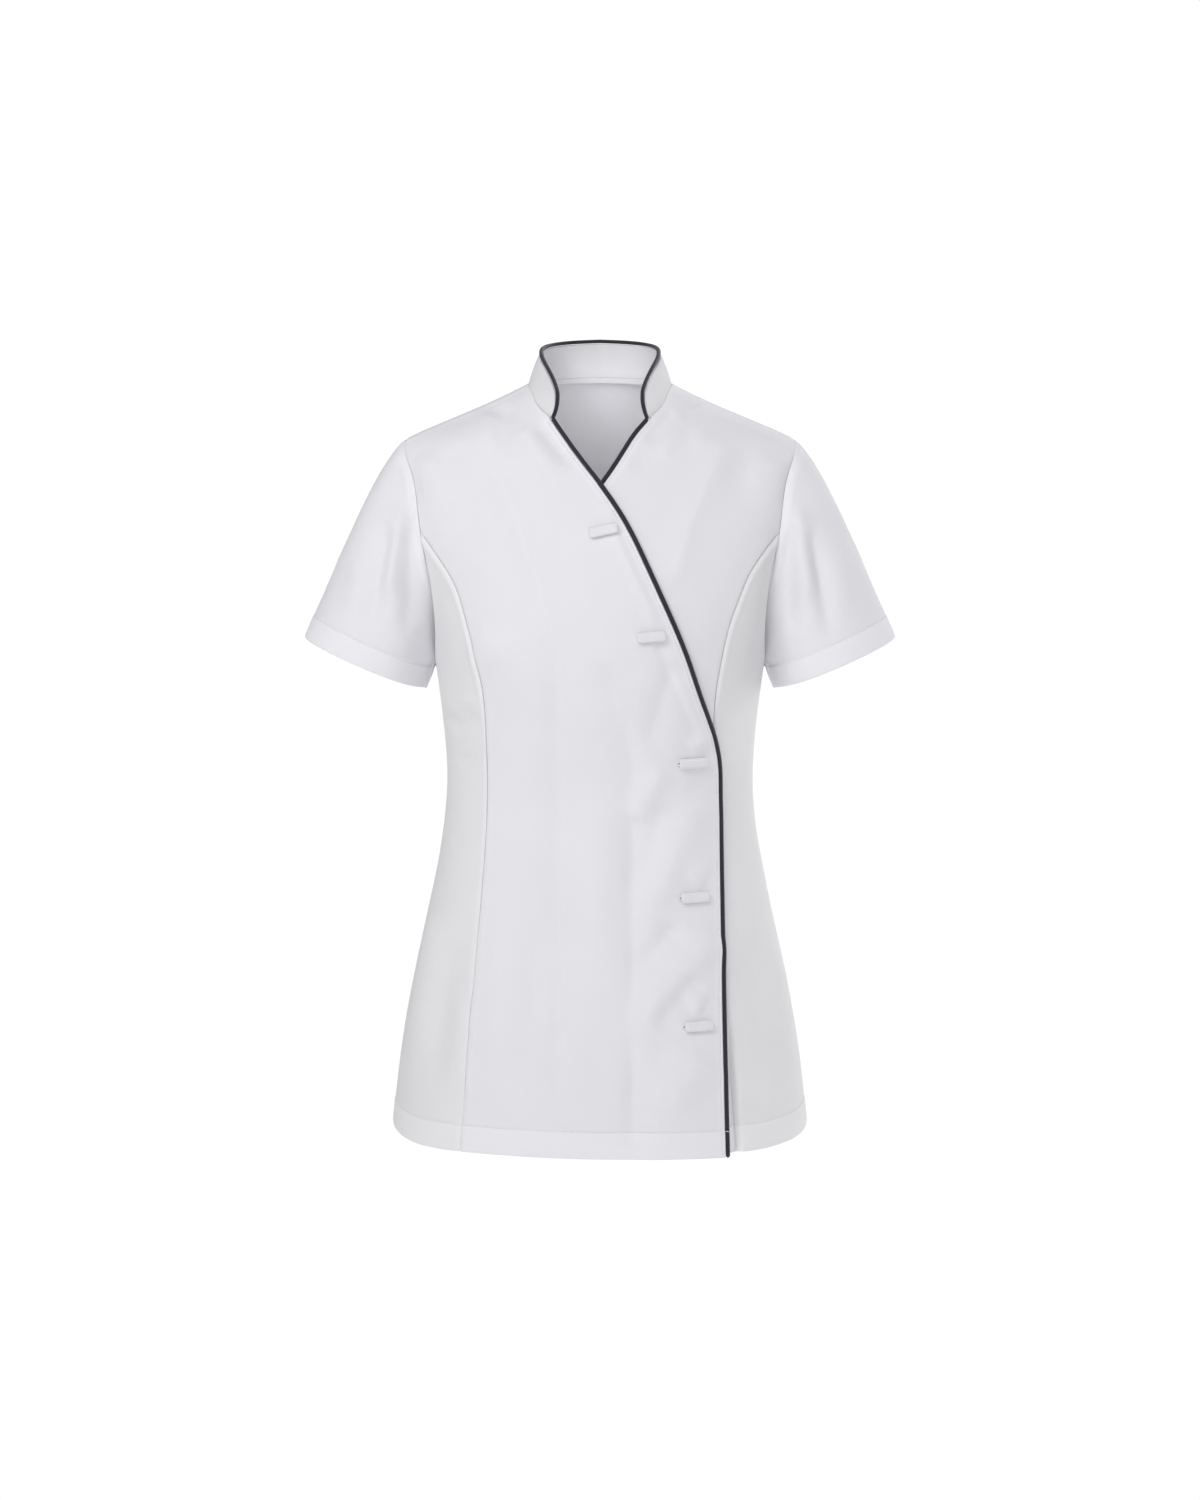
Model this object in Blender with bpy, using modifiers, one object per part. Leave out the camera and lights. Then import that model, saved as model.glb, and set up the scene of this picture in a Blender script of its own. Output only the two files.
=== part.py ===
"""Beautician tunic: short sleeves, stand collar, curved wrap front fastened by
five covered toggles, piped in navy.  It keeps the filled-out form it has when
worn.

Frame: metres, +Z up, the front faces -Y, the wearer's right is at -X.  The
origin lies between the shoulders at the height of the neck base, where the
wearer's shoulders carry the tunic.

The cloth follows one body form, worked out from level sections.  Every sewn
piece is an open surface on that form, inside its own seam lines, with a wall.
"""
import math

import bpy
import bmesh
import numpy as np
from mathutils import Vector

# --------------------------------------------------------------- driving sizes
WALL = 0.0015            # cloth wall
SEAM = 0.0003            # gap between sewn pieces
LAP = 0.0032             # how far the overlap stands off the underlap
LAP_RAMP = 0.028         # width over which the overlap rises
PIPE = 0.0017            # radius of the piping
PIPE_GAP = 0.0004        # gap between piping and cloth
END_GAP = 0.0024         # the collar's ends stop short of the front piping
TOGGLE_GAP = 0.0012      # gap under the toggles
COLLAR_BULGE = 0.0026    # the collar stands out between its seam and its edge
SPLIT_Z = -0.1198        # level where the princess seams meet the armholes
ARM_TOP, ARM_LOW = -0.038, -0.236      # armhole, highest and lowest
ARM_FRONT, ARM_BACK = 0.0535, 0.0550   # armhole, reach forward and back
ARM_SKEW = 0.10          # the armhole is fuller low down
ARM_STEP = 10            # degrees between armhole points
SPLIT_DEG = 80           # armhole angle at the princess seam
SHOULDER_DEG = 20        # armhole angle at the shoulder seam
NECK_CORNER = 62.0       # neck angle at the shoulder seam
NECK_END = 17.8          # neck angle at the collar's front end
CUFF_MID = (0.2152, 0.0, -0.2412)      # middle of the sleeve opening
CUFF_OUT = (0.0552, 0.0, 0.0240)       # from there to its outer corner
CUFF_DEEP = 0.0560       # half the sleeve opening, front to back
TOGGLE_LONG, TOGGLE_HIGH, TOGGLE_DEEP = 0.0250, 0.0094, 0.0050

# ---------------------------------------------------------------- short tables
# level sections of the body form
TORSO = (
    # z, half_width, front_depth, back_depth, front_power, back_power, pinch
    (0.0220, 0.0480, 0.0500, 0.0545, 2.00, 2.00, 0.00),
    (0.0125, 0.0650, 0.0520, 0.0600, 2.00, 2.00, 0.00),
    (-0.0080, 0.1085, 0.0610, 0.0720, 2.00, 2.00, 0.22),
    (-0.0220, 0.1420, 0.0690, 0.0800, 2.00, 2.00, 0.30),
    (-0.0380, 0.1766, 0.0770, 0.0880, 2.00, 2.00, 0.32),
    (-0.0700, 0.1925, 0.0900, 0.0990, 2.05, 2.05, 0.22),
    (-0.1100, 0.1870, 0.1050, 0.1060, 2.15, 2.15, 0.10),
    (-0.1600, 0.1695, 0.1180, 0.1070, 2.25, 2.20, 0.00),
    (-0.2150, 0.1545, 0.1245, 0.1000, 2.35, 2.30, 0.00),
    (-0.2700, 0.1463, 0.1170, 0.0900, 2.35, 2.30, 0.00),
    (-0.3500, 0.1404, 0.1000, 0.0850, 2.30, 2.30, 0.00),
    (-0.4300, 0.1502, 0.1030, 0.0960, 2.30, 2.30, 0.00),
    (-0.5200, 0.1700, 0.1160, 0.1170, 2.35, 2.35, 0.00),
    (-0.6000, 0.1845, 0.1280, 0.1280, 2.40, 2.35, 0.00),
    (-0.6800, 0.1938, 0.1380, 0.1360, 2.40, 2.40, 0.00),
)
# princess seams, seen from the front
PRINCESS_RIGHT = (
    # z, x
    (-0.1198, 0.1600), (-0.1350, 0.1478), (-0.1530, 0.1337), (-0.1730, 0.1252),
    (-0.1975, 0.1180), (-0.2278, 0.1106), (-0.2600, 0.1048), (-0.3000, 0.1021),
    (-0.3500, 0.1013), (-0.4000, 0.1036), (-0.4700, 0.1090), (-0.5400, 0.1148),
    (-0.6100, 0.1208), (-0.6760, 0.1260),
)
PRINCESS_LEFT = (
    # z, x
    (-0.1198, 0.1600), (-0.1350, 0.1475), (-0.1540, 0.1340), (-0.1730, 0.1253),
    (-0.1960, 0.1164), (-0.2233, 0.1096), (-0.2550, 0.1040), (-0.2908, 0.1014),
    (-0.3400, 0.1014), (-0.4127, 0.1041), (-0.4923, 0.1084), (-0.5751, 0.1143),
    (-0.6471, 0.1199), (-0.6760, 0.1218),
)
# free edge of the overlap, collar end to hem
LAP_EDGE = (
    # z, x
    (-0.0195, -0.0416), (-0.0383, -0.0282), (-0.0766, 0.0000), (-0.1059, 0.0200),
    (-0.1500, 0.0422), (-0.1994, 0.0646), (-0.2278, 0.0760), (-0.2626, 0.0877),
    (-0.2954, 0.0990), (-0.3118, 0.1034), (-0.3270, 0.1056), (-0.3468, 0.1064),
    (-0.4118, 0.1077), (-0.5916, 0.1110), (-0.6760, 0.1131),
)
# free edge of the underlap, collar end to hem; hidden below the crossing
UNDER_EDGE = (
    # z, x
    (-0.0195, 0.0416), (-0.0301, 0.0322), (-0.0449, 0.0220), (-0.0632, 0.0101),
    (-0.0766, 0.0004), (-0.0920, -0.0106), (-0.1073, -0.0190), (-0.1200, -0.0205),
    (-0.1400, -0.0160), (-0.1650, -0.0060), (-0.2084, 0.0120), (-0.2644, 0.0350),
    (-0.3238, 0.0487), (-0.4095, 0.0534), (-0.6760, 0.0568),
)
# neck seam and the collar's free edge, from the front end to the nape
COLLAR = (
    # seam_angle, seam_z, edge_x, edge_y, edge_z
    (17.8, -0.0195, 0.0411, -0.0668, -0.0165),
    (26.0, -0.0118, 0.0386, -0.0640, -0.0080),
    (34.0, -0.0052, 0.0379, -0.0580, 0.0010),
    (46.0, 0.0030, 0.0396, -0.0485, 0.0096),
    (62.0, 0.0088, 0.0433, -0.0370, 0.0182),
    (76.0, 0.0116, 0.0480, -0.0240, 0.0268),
    (90.0, 0.0130, 0.0525, -0.0090, 0.0352),
    (106.0, 0.0143, 0.0536, 0.0080, 0.0423),
    (128.0, 0.0160, 0.0467, 0.0280, 0.0472),
    (153.0, 0.0175, 0.0276, 0.0445, 0.0502),
    (180.0, 0.0182, 0.0000, 0.0505, 0.0516),
)
# how the sleeve leaves the armhole: angle round it, direction, reach, and the
# reach back up the sleeve from the cuff
SLEEVE = (
    # angle, out, forward, down, reach, cuff_reach
    (0, 0.82, 0.00, 0.57, 0.031, 0.072),
    (45, 0.80, 0.30, 0.52, 0.036, 0.062),
    (90, 0.62, 0.28, 0.73, 0.036, 0.045),
    (135, 0.22, 0.22, 0.95, 0.024, 0.022),
    (180, 0.05, 0.00, 1.00, 0.010, 0.010),
    (225, 0.22, -0.22, 0.95, 0.024, 0.022),
    (270, 0.62, -0.30, 0.73, 0.036, 0.045),
    (315, 0.80, -0.32, 0.52, 0.036, 0.062),
    (360, 0.82, 0.00, 0.57, 0.031, 0.072),
)
SLEEVE_AIM = (0.42, 0.0, -0.907)       # the sleeve's direction at the cuff
# hem height of each front, seen from the front
HEM_RIGHT = (
    # x, z
    (-0.1940, -0.6700), (-0.1780, -0.6727), (-0.1600, -0.6731), (-0.1256, -0.6715),
    (0.0, -0.6718), (0.0600, -0.6726), (0.1130, -0.6748),
)
HEM_LEFT = (
    # x, z
    (0.0568, -0.6713), (0.1168, -0.6713), (0.1454, -0.6727), (0.1640, -0.6726),
    (0.1780, -0.6722), (0.1940, -0.6700),
)
HEM_BACK = -0.6700
# toggles: where their middles sit, and their tilt
TOGGLES = (
    # x, z, tilt_degrees
    (0.0022, -0.1175, 11.0),
    (0.0445, -0.2088, 4.0),
    (0.0826, -0.3240, 1.0),
    (0.0843, -0.4445, 0.0),
    (0.0881, -0.5572, -1.0),
)
# toggle sections along its length, as shares of its half length and size
TOGGLE_FORM = (
    # along, high, deep
    (-1.00, 0.70, 0.62), (-0.95, 0.90, 0.86), (-0.84, 1.00, 1.00),
    (0.84, 1.00, 1.00), (0.95, 0.90, 0.86), (1.00, 0.70, 0.62),
)
# rows and columns of the surfaces
ROWS_LOW, ROWS_HIGH = 8, 8             # hem to waist, waist to the split
WAIST_Z = -0.300
ROWS_V, ROWS_NECK = 8, 4               # above the split: V edge, neck seam
COLS_RIGHT, COLS_LEFT = 12, 10
COLS_SHOULDER, COLS_NAPE = 4, 8
ROWS_SLEEVE, ROWS_COLLAR, COLS_COLLAR = 7, 3, 36


# -------------------------------------------------------------------- splines
class Spline:
    """Smooth curve through table rows: first column in, the others out."""

    def __init__(self, rows):
        rows = np.array(sorted(rows), dtype=float)
        self.x, self.y = rows[:, 0], rows[:, 1:]
        n, h = len(self.x), np.diff(self.x)
        a, r = np.eye(n), np.zeros_like(self.y)
        for i in range(1, n - 1):
            a[i, i - 1:i + 2] = h[i - 1], 2 * (h[i - 1] + h[i]), h[i]
            r[i] = 6 * ((self.y[i + 1] - self.y[i]) / h[i]
                        - (self.y[i] - self.y[i - 1]) / h[i - 1])
        self.m, self.h = np.linalg.solve(a, r), h

    def __call__(self, x):
        x = np.clip(np.asarray(x, float), self.x[0], self.x[-1])
        i = np.clip(np.searchsorted(self.x, x) - 1, 0, len(self.x) - 2)
        t, h = (x - self.x[i])[..., None], self.h[i][..., None]
        y0, y1, m0, m1 = self.y[i], self.y[i + 1], self.m[i], self.m[i + 1]
        return (y0 + t * ((y1 - y0) / h - h * (2 * m0 + m1) / 6)
                + t * t * m0 / 2 + t ** 3 * (m1 - m0) / (6 * h))


torso = Spline(TORSO)
princess = {-1: Spline(PRINCESS_RIGHT), 1: Spline(PRINCESS_LEFT)}
lap_edge, under_edge = Spline(LAP_EDGE), Spline(UNDER_EDGE)
collar_rows, sleeve_rows = Spline(COLLAR), Spline(SLEEVE)
hem_right, hem_left = Spline(HEM_RIGHT), Spline(HEM_LEFT)


def smoothstep(t):
    t = np.clip(t, 0.0, 1.0)
    return t * t * (3 - 2 * t)


# ------------------------------------------------------------------ body form
def section(z):
    s = torso(z)
    return [s[..., i] for i in range(6)]


def body_value(p):
    """Negative inside the body form, positive outside."""
    a, f, b, pf, pb, k = section(p[..., 2])
    front = p[..., 1] < 0
    u = np.abs(p[..., 0]) / a
    deep = np.where(front, f, b) * np.maximum(1 - k * u * u, 0.2)
    return u ** np.where(front, pf, pb) + (p[..., 1] / deep) ** 2 - 1


def body_normal(p):
    g, e = np.zeros_like(p), 2e-4
    for i in range(3):
        d = np.zeros(3)
        d[i] = e
        g[..., i] = body_value(p + d) - body_value(p - d)
    return g / np.linalg.norm(g, axis=-1, keepdims=True)


def onto_body(p):
    """Nearest point of the body form, for points close to it."""
    for _ in range(4):
        g, e = np.zeros_like(p), 2e-4
        for i in range(3):
            d = np.zeros(3)
            d[i] = e
            g[..., i] = (body_value(p + d) - body_value(p - d)) / (2 * e)
        p = p - g * (body_value(p) / (g ** 2).sum(-1))[..., None]
    return p


def ring_point(phi, z):
    """Point at an angle (radians) round from the front centre, at a level."""
    phi, z = np.broadcast_arrays(np.asarray(phi, float), np.asarray(z, float))
    a, f, b, pf, pb, k = section(z)
    s, c = np.abs(np.sin(phi)), np.cos(phi)
    u = s ** (2 / np.where(c > 0, pf, pb))
    deep = np.where(c > 0, f, b) * (1 - k * u * u)
    return np.stack([a * u * np.sign(np.sin(phi)), -deep * c, z], -1)


def ring_angle(x, z):
    """Angle on the front at which a level section reaches x."""
    a, f, b, pf, pb, k = section(z)
    return np.arcsin(np.minimum(np.abs(x) / a, 1.0) ** (pf / 2)) * np.sign(x)


def width_at(y, z):
    """Half width of the form at a depth y and a level z."""
    lo, hi = np.zeros_like(z), section(z)[0] * 1.0
    for _ in range(50):
        mid = (lo + hi) / 2
        inside = body_value(np.stack([mid, y, z], -1)) < 0
        lo, hi = np.where(inside, mid, lo), np.where(inside, hi, mid)
    return (lo + hi) / 2


def height_at(x, y):
    """Level at which the shoulders pass over (x, y)."""
    lo, hi = np.full_like(x, SPLIT_Z), np.full_like(x, 0.0219)
    for _ in range(50):
        mid = (lo + hi) / 2
        inside = body_value(np.stack([x, y, mid], -1)) < 0
        lo, hi = np.where(inside, mid, lo), np.where(inside, hi, mid)
    return (lo + hi) / 2


def fan_point(x, alpha, facing):
    """Point above the split level: x, and the angle up from level, seen from
    the middle.  facing is -1 for the front and +1 for the back."""
    x, alpha = np.broadcast_arrays(np.asarray(x, float), np.asarray(alpha, float))
    aim = np.stack([np.zeros_like(x), facing * np.cos(alpha), np.sin(alpha)], -1)
    start = np.stack([x, np.zeros_like(x), np.full_like(x, SPLIT_Z)], -1)
    lo, hi = np.zeros_like(x), np.full_like(x, 0.25)
    for _ in range(50):
        mid = (lo + hi) / 2
        q = start + aim * mid[..., None]
        inside = (body_value(q) < 0) & (q[..., 2] < 0.0219)
        lo, hi = np.where(inside, mid, lo), np.where(inside, hi, mid)
    return start + aim * ((lo + hi) / 2)[..., None]


def fan_angle(p, facing):
    return np.arctan2(p[..., 2] - SPLIT_Z, facing * p[..., 1])


# ------------------------------------------------------------------ seam lines
def armhole(deg):
    """Armhole on the +X side: 0 at the top, 90 at the front, 180 at the
    underarm.  Between its points it runs straight."""
    def exact(d):
        a = np.radians(d)
        z = (ARM_TOP + ARM_LOW) / 2 + (ARM_TOP - ARM_LOW) / 2 * np.cos(a)
        reach = np.where(np.sin(a) >= 0, ARM_FRONT, ARM_BACK)
        y = -reach * np.sin(a) * (1 - ARM_SKEW * np.cos(a))
        return np.stack([width_at(y, z), y, z], -1)
    deg = np.asarray(deg, float)
    low = np.floor(deg / ARM_STEP + 1e-9) * ARM_STEP
    t = ((deg - low) / ARM_STEP)[..., None]
    return exact(low) * (1 - t) + exact(low + ARM_STEP) * t


def neck(deg):
    """Neck seam on the +X side, by the angle round from the front centre."""
    deg = np.asarray(deg, float)
    return ring_point(np.radians(deg), collar_rows(deg)[..., 0])


def neck_stations():
    """Angles of the neck seam's points, front end to the other front end."""
    front = np.linspace(NECK_END, NECK_CORNER, ROWS_NECK + 1)
    back = np.linspace(NECK_CORNER, 360 - NECK_CORNER, COLS_NAPE + 1)
    return np.concatenate([front[:-1], back, (360 - front[:-1])[::-1]])


def neck_round(deg):
    """Neck seam past the nape to the other side, in x sign too."""
    deg = np.asarray(deg, float)
    p = neck(np.where(deg > 180, 360 - deg, deg))
    return p * np.stack([np.where(deg > 180, -1.0, 1.0)] + [np.ones_like(deg)] * 2, -1)


def shoulder_seam(t):
    """Shoulder seam on the +X side, from the armhole (0) to the neck (1), in
    straight runs."""
    a, n = armhole(SHOULDER_DEG), neck(NECK_CORNER)
    knots = np.linspace(0, 1, COLS_SHOULDER + 1)
    x, y = a[0] + (n[0] - a[0]) * knots, a[1] + (n[1] - a[1]) * knots
    p = np.stack([x, y, height_at(x, y)], -1)
    p[0], p[-1] = a, n
    return np.stack([np.interp(t, knots, p[:, i]) for i in range(3)], -1)


def levels(bottom):
    """Levels of the rows from the hem to the split."""
    low = np.linspace(0, 1, ROWS_LOW + 1)
    high = np.linspace(0, 1, ROWS_HIGH + 1)[1:]
    return np.concatenate([bottom + (WAIST_Z - bottom) * low,
                           WAIST_Z + (SPLIT_Z - WAIST_Z) * high])


# -------------------------------------------------------------- surface tools
def coons(left, right, bottom, top):
    """Patch between four border curves (arrays of points that meet at the
    corners); returns rows from bottom to top."""
    v = np.linspace(0, 1, len(left))[:, None, None]
    u = np.linspace(0, 1, len(bottom))[None, :, None]
    flat = ((1 - u) * (1 - v) * bottom[0] + u * (1 - v) * bottom[-1]
            + (1 - u) * v * top[0] + u * v * top[-1])
    return ((1 - u) * left[:, None] + u * right[:, None]
            + (1 - v) * bottom[None] + v * top[None] - flat)


def draw_in(grid, side, gap, first=0, last=None):
    """Moves one border of a grid of points towards its inside, square to the
    border, to leave room for a seam or for piping."""
    g = {"left": grid, "right": grid[:, ::-1],
         "bottom": grid.transpose(1, 0, 2), "top": grid[::-1].transpose(1, 0, 2)}[side]
    edge, inner = g[:, 0].copy(), g[:, 1]
    along = np.gradient(edge, axis=0)
    along /= np.linalg.norm(along, axis=1, keepdims=True)
    inward = inner - edge
    inward -= along * (inward * along).sum(1, keepdims=True)
    inward /= np.linalg.norm(inward, axis=1, keepdims=True)
    sel = slice(first, last)
    g[sel, 0] += inward[sel] * np.broadcast_to(gap, len(edge))[sel, None]
    return grid


def hem_in(grid, side, near=0.0025):
    """Adds a row of points close to a border, so that its rim is square to
    the cloth."""
    g = {"left": grid, "right": grid[:, ::-1],
         "bottom": grid.transpose(1, 0, 2), "top": grid[::-1].transpose(1, 0, 2)}[side]
    step = g[:, 1] - g[:, 0]
    step *= near / np.linalg.norm(step, axis=1, keepdims=True)
    g = np.concatenate([g[:, :1], onto_body(g[:, 0] + step)[:, None], g[:, 1:]], axis=1)
    return {"left": g, "right": g[:, ::-1], "bottom": g.transpose(1, 0, 2),
            "top": g.transpose(1, 0, 2)[::-1]}[side]


def lift(points):
    """Raises the overlap where the underlap is below it."""
    over = smoothstep((points[..., 0] - under_edge(points[..., 2])[..., 0] + LAP_RAMP + 0.004) / LAP_RAMP)
    low = smoothstep((-0.020 - points[..., 2]) / 0.03)
    return points + body_normal(points) * (LAP * over * low)[..., None]


# -------------------------------------------------------------- object makers
def clear_scene():
    for obj in list(bpy.data.objects):
        bpy.data.objects.remove(obj, do_unlink=True)


def material(name, colour, roughness):
    mat = bpy.data.materials.new(name)
    mat.use_nodes = True
    shader = mat.node_tree.nodes["Principled BSDF"]
    shader.inputs["Base Color"].default_value = (*colour, 1.0)
    shader.inputs["Roughness"].default_value = roughness
    shader.inputs["Metallic"].default_value = 0.0
    return mat


def cloth_object(name, grid, mat, mirror=False, closed=False, wall=WALL):
    """Open surface from a grid of points, with a Solidify wall inwards."""
    grid = np.array(grid, float)
    if mirror:
        grid[..., 0] *= -1
    rows, cols = grid.shape[:2]
    bm = bmesh.new()
    verts = [[bm.verts.new(Vector(p)) for p in row] for row in grid]
    for i in range(rows - 1):
        for j in range(cols if closed else cols - 1):
            k = (j + 1) % cols
            bm.faces.new((verts[i][j], verts[i][k], verts[i + 1][k], verts[i + 1][j]))
    bm.normal_update()
    middle = Vector(grid.reshape(-1, 3).mean(0))
    if closed:
        out = sum((f.calc_center_median() - middle).dot(f.normal) * f.calc_area() for f in bm.faces)
    else:
        out = 0.0
        for f in bm.faces:
            c = f.calc_center_median()
            out += Vector((c.x, c.y, 0.02)).dot(f.normal) * f.calc_area()
    if out < 0:
        bmesh.ops.reverse_faces(bm, faces=bm.faces)
    mesh = bpy.data.meshes.new(name)
    bm.to_mesh(mesh)
    bm.free()
    mesh.shade_smooth()
    obj = bpy.data.objects.new(name, mesh)
    tunic.objects.link(obj)
    mesh.materials.append(mat)
    shell = obj.modifiers.new("wall", "SOLIDIFY")
    shell.thickness = wall
    shell.offset = -1.0
    return obj


def piping_object(name, points, mat):
    curve = bpy.data.curves.new(name, "CURVE")
    curve.dimensions = "3D"
    spline = curve.splines.new("POLY")
    spline.points.add(len(points) - 1)
    for q, p in zip(spline.points, points):
        q.co = (*[float(c) for c in p], 1.0)
    curve.bevel_depth = PIPE
    curve.bevel_resolution = 2
    curve.use_fill_caps = True
    obj = bpy.data.objects.new(name, curve)
    tunic.objects.link(obj)
    curve.materials.append(mat)
    return obj


def toggle_object(name, x, z, tilt, mat):
    """Covered bar that follows the overlap under it."""
    def over(s):
        q = np.array([[x + s * math.cos(math.radians(tilt)), -0.1,
                       z + s * math.sin(math.radians(tilt))]])
        phi = ring_angle(q[:, 0], q[:, 2])
        return lift(ring_point(phi, q[:, 2]))[0]
    bm = bmesh.new()
    rings = []
    for along, high, deep in TOGGLE_FORM:
        s = along * TOGGLE_LONG / 2
        p = over(s)
        n = body_normal(p[None])[0]
        t = over(s + 1e-4) - over(s - 1e-4)
        t /= np.linalg.norm(t)
        n -= t * n.dot(t)
        n /= np.linalg.norm(n)
        w = np.cross(n, t)
        mid = p + n * (TOGGLE_GAP + TOGGLE_DEEP / 2)
        ring = []
        for k in range(12):
            a = 2 * math.pi * k / 12
            ca, sa = math.cos(a), math.sin(a)
            h = math.copysign(abs(ca) ** 0.75, ca) * high * TOGGLE_HIGH / 2
            d = math.copysign(abs(sa) ** 0.75, sa) * deep * TOGGLE_DEEP / 2
            ring.append(bm.verts.new(Vector(mid + w * h + n * d)))
        rings.append(ring)
    for a, b in zip(rings, rings[1:]):
        for k in range(12):
            bm.faces.new((a[k], a[(k + 1) % 12], b[(k + 1) % 12], b[k]))
    bm.faces.new(rings[0][::-1])
    bm.faces.new(rings[-1])
    bmesh.ops.recalc_face_normals(bm, faces=bm.faces)
    mesh = bpy.data.meshes.new(name)
    bm.to_mesh(mesh)
    bm.free()
    mesh.shade_smooth()
    obj = bpy.data.objects.new(name, mesh)
    tunic.objects.link(obj)
    mesh.materials.append(mat)
    return obj


# --------------------------------------------------------------------- pieces
def front_grid(side, edge, hem, cols):
    """A front, from the princess seam and armhole (left of the grid) to the
    free edge and neck seam (right of the grid).  side is the sign of x."""
    seam_z = levels(float(hem(side * 0.1256)[0]))
    edge_z = levels(float(hem(float(edge(seam_z[0])[0]))[0]))
    outer = np.stack([ring_angle(side * princess[side](seam_z)[:, 0], seam_z), seam_z], -1)
    arm = armhole(SPLIT_DEG) * [side, 1, 1]
    outer[-1] = ring_angle(arm[0], arm[2]), SPLIT_Z
    inner = np.stack([ring_angle(edge(edge_z)[:, 0], edge_z), edge_z], -1)
    u = np.linspace(0, 1, cols + 1)[:, None]
    bottom = outer[0] * (1 - u) + inner[0] * u
    bottom[:, 1] = hem(ring_point(bottom[:, 0], bottom[:, 1])[:, 0])[:, 0]
    bottom[0], bottom[-1] = outer[0], inner[0]
    top = outer[-1] * (1 - u) + inner[-1] * u
    low = coons(outer, inner, bottom, top)
    low = ring_point(low[..., 0], low[..., 1])
    # above the split, by x and fan angle
    rows = ROWS_V + ROWS_NECK
    arm = armhole(np.linspace(SPLIT_DEG, SHOULDER_DEG, rows + 1)) * [side, 1, 1]
    vz = np.linspace(SPLIT_Z, LAP_EDGE[0][0], ROWS_V + 1)
    v = ring_point(ring_angle(edge(vz)[:, 0], vz), vz)
    n = neck(np.linspace(NECK_END, NECK_CORNER, ROWS_NECK + 1)) * [side, 1, 1]
    v[-1] = n[0]
    inner = np.concatenate([v, n[1:]])
    seam = shoulder_seam(np.linspace(0, 1, cols + 1)) * [side, 1, 1]
    borders = []
    for b in (arm, inner, low[-1], seam):
        borders.append(np.stack([b[:, 0], fan_angle(b, -1)], -1))
    high = coons(*borders)
    high = fan_point(high[..., 0], high[..., 1], -1)
    high[:, 0], high[:, -1], high[-1], high[0] = arm, inner, seam, low[-1]
    return np.concatenate([low, high[1:]])


def side_grid(side, hem):
    """A side front: side seam, princess seam, and the low front armhole."""
    seam_z = levels(float(hem(side * 0.1256)[0]))
    share = (seam_z - seam_z[0]) / (seam_z[-1] - seam_z[0])
    bottom_z = float(hem(side * 0.1940)[0])
    side_z = bottom_z + (ARM_LOW - bottom_z) * share
    left = np.stack([np.full_like(side_z, math.pi / 2), side_z], -1)
    right = np.stack([ring_angle(princess[side](seam_z)[:, 0], seam_z), seam_z], -1)
    arm = armhole(np.arange(180, SPLIT_DEG - 1, -ARM_STEP))
    top = np.stack([ring_angle(arm[:, 0], arm[:, 2]), arm[:, 2]], -1)
    left[-1], right[-1] = top[0], top[-1]
    u = np.linspace(0, 1, len(top))[:, None]
    bottom = left[0] * (1 - u) + right[0] * u
    grid = coons(left, right, bottom, top)
    grid = ring_point(grid[..., 0], grid[..., 1])
    grid[-1] = arm
    return grid * [side, 1, 1]


def back_grid():
    """The back: side seams, armholes, shoulder seams and nape."""
    seam_z = levels(HEM_BACK)
    share = (seam_z - seam_z[0]) / (seam_z[-1] - seam_z[0])
    side_z = HEM_BACK + (ARM_LOW - HEM_BACK) * share
    arm = armhole(np.arange(180, 361 - SPLIT_DEG, ARM_STEP))
    cols = 2 * COLS_SHOULDER + COLS_NAPE
    u = np.linspace(-1, 1, cols + 1)[None, :]
    b = math.pi / 2
    rows = ring_point(math.pi - b * u, side_z[:, None])
    a, f, bk, pf, pb, k = section(arm[:, 2])
    reach = np.arcsin(np.minimum(arm[:, 0] / a, 1.0) ** (pb / 2))
    upper = ring_point(math.pi - reach[1:, None] * u, arm[1:, 2][:, None])
    low = np.concatenate([rows, upper])
    arm = armhole(np.arange(360 - SPLIT_DEG, 361 + SHOULDER_DEG, ARM_STEP) % 360)
    s = shoulder_seam(np.linspace(0, 1, COLS_SHOULDER + 1))
    n = neck_round(np.linspace(360 - NECK_CORNER, NECK_CORNER, COLS_NAPE + 1))
    top = np.concatenate([s * [-1, 1, 1], n[1:-1], s[::-1]])
    borders = []
    for b in (arm * [-1, 1, 1], arm, low[-1], top):
        borders.append(np.stack([b[:, 0], fan_angle(b, 1)], -1))
    high = coons(*borders)
    high = fan_point(high[..., 0], high[..., 1], 1)
    high[:, 0], high[:, -1], high[-1], high[0] = arm * [-1, 1, 1], arm, top, low[-1]
    return np.concatenate([low, high[1:]])


def sleeve_grid():
    """Left sleeve (+X), from the armhole to the cuff."""
    deg = np.arange(0, 360, ARM_STEP)
    row = sleeve_rows(deg)
    start = armhole(deg)
    aim = np.stack([row[:, 0], -row[:, 1], -row[:, 2]], -1)
    aim /= np.linalg.norm(aim, axis=1, keepdims=True)
    start = start + aim * 0.0006
    a = np.radians(deg)[:, None]
    mid, out = np.array(CUFF_MID), np.array(CUFF_OUT)
    end = mid + out * np.cos(a) + np.array([0, -CUFF_DEEP, 0]) * np.sin(a)
    c1 = start + aim * row[:, 3:4]
    c2 = end - np.array(SLEEVE_AIM) * row[:, 4:5]
    t = np.linspace(0, 1, ROWS_SLEEVE + 1)[:, None, None]
    return ((1 - t) ** 3 * start + 3 * t * (1 - t) ** 2 * c1
            + 3 * t * t * (1 - t) * c2 + t ** 3 * end)


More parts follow.
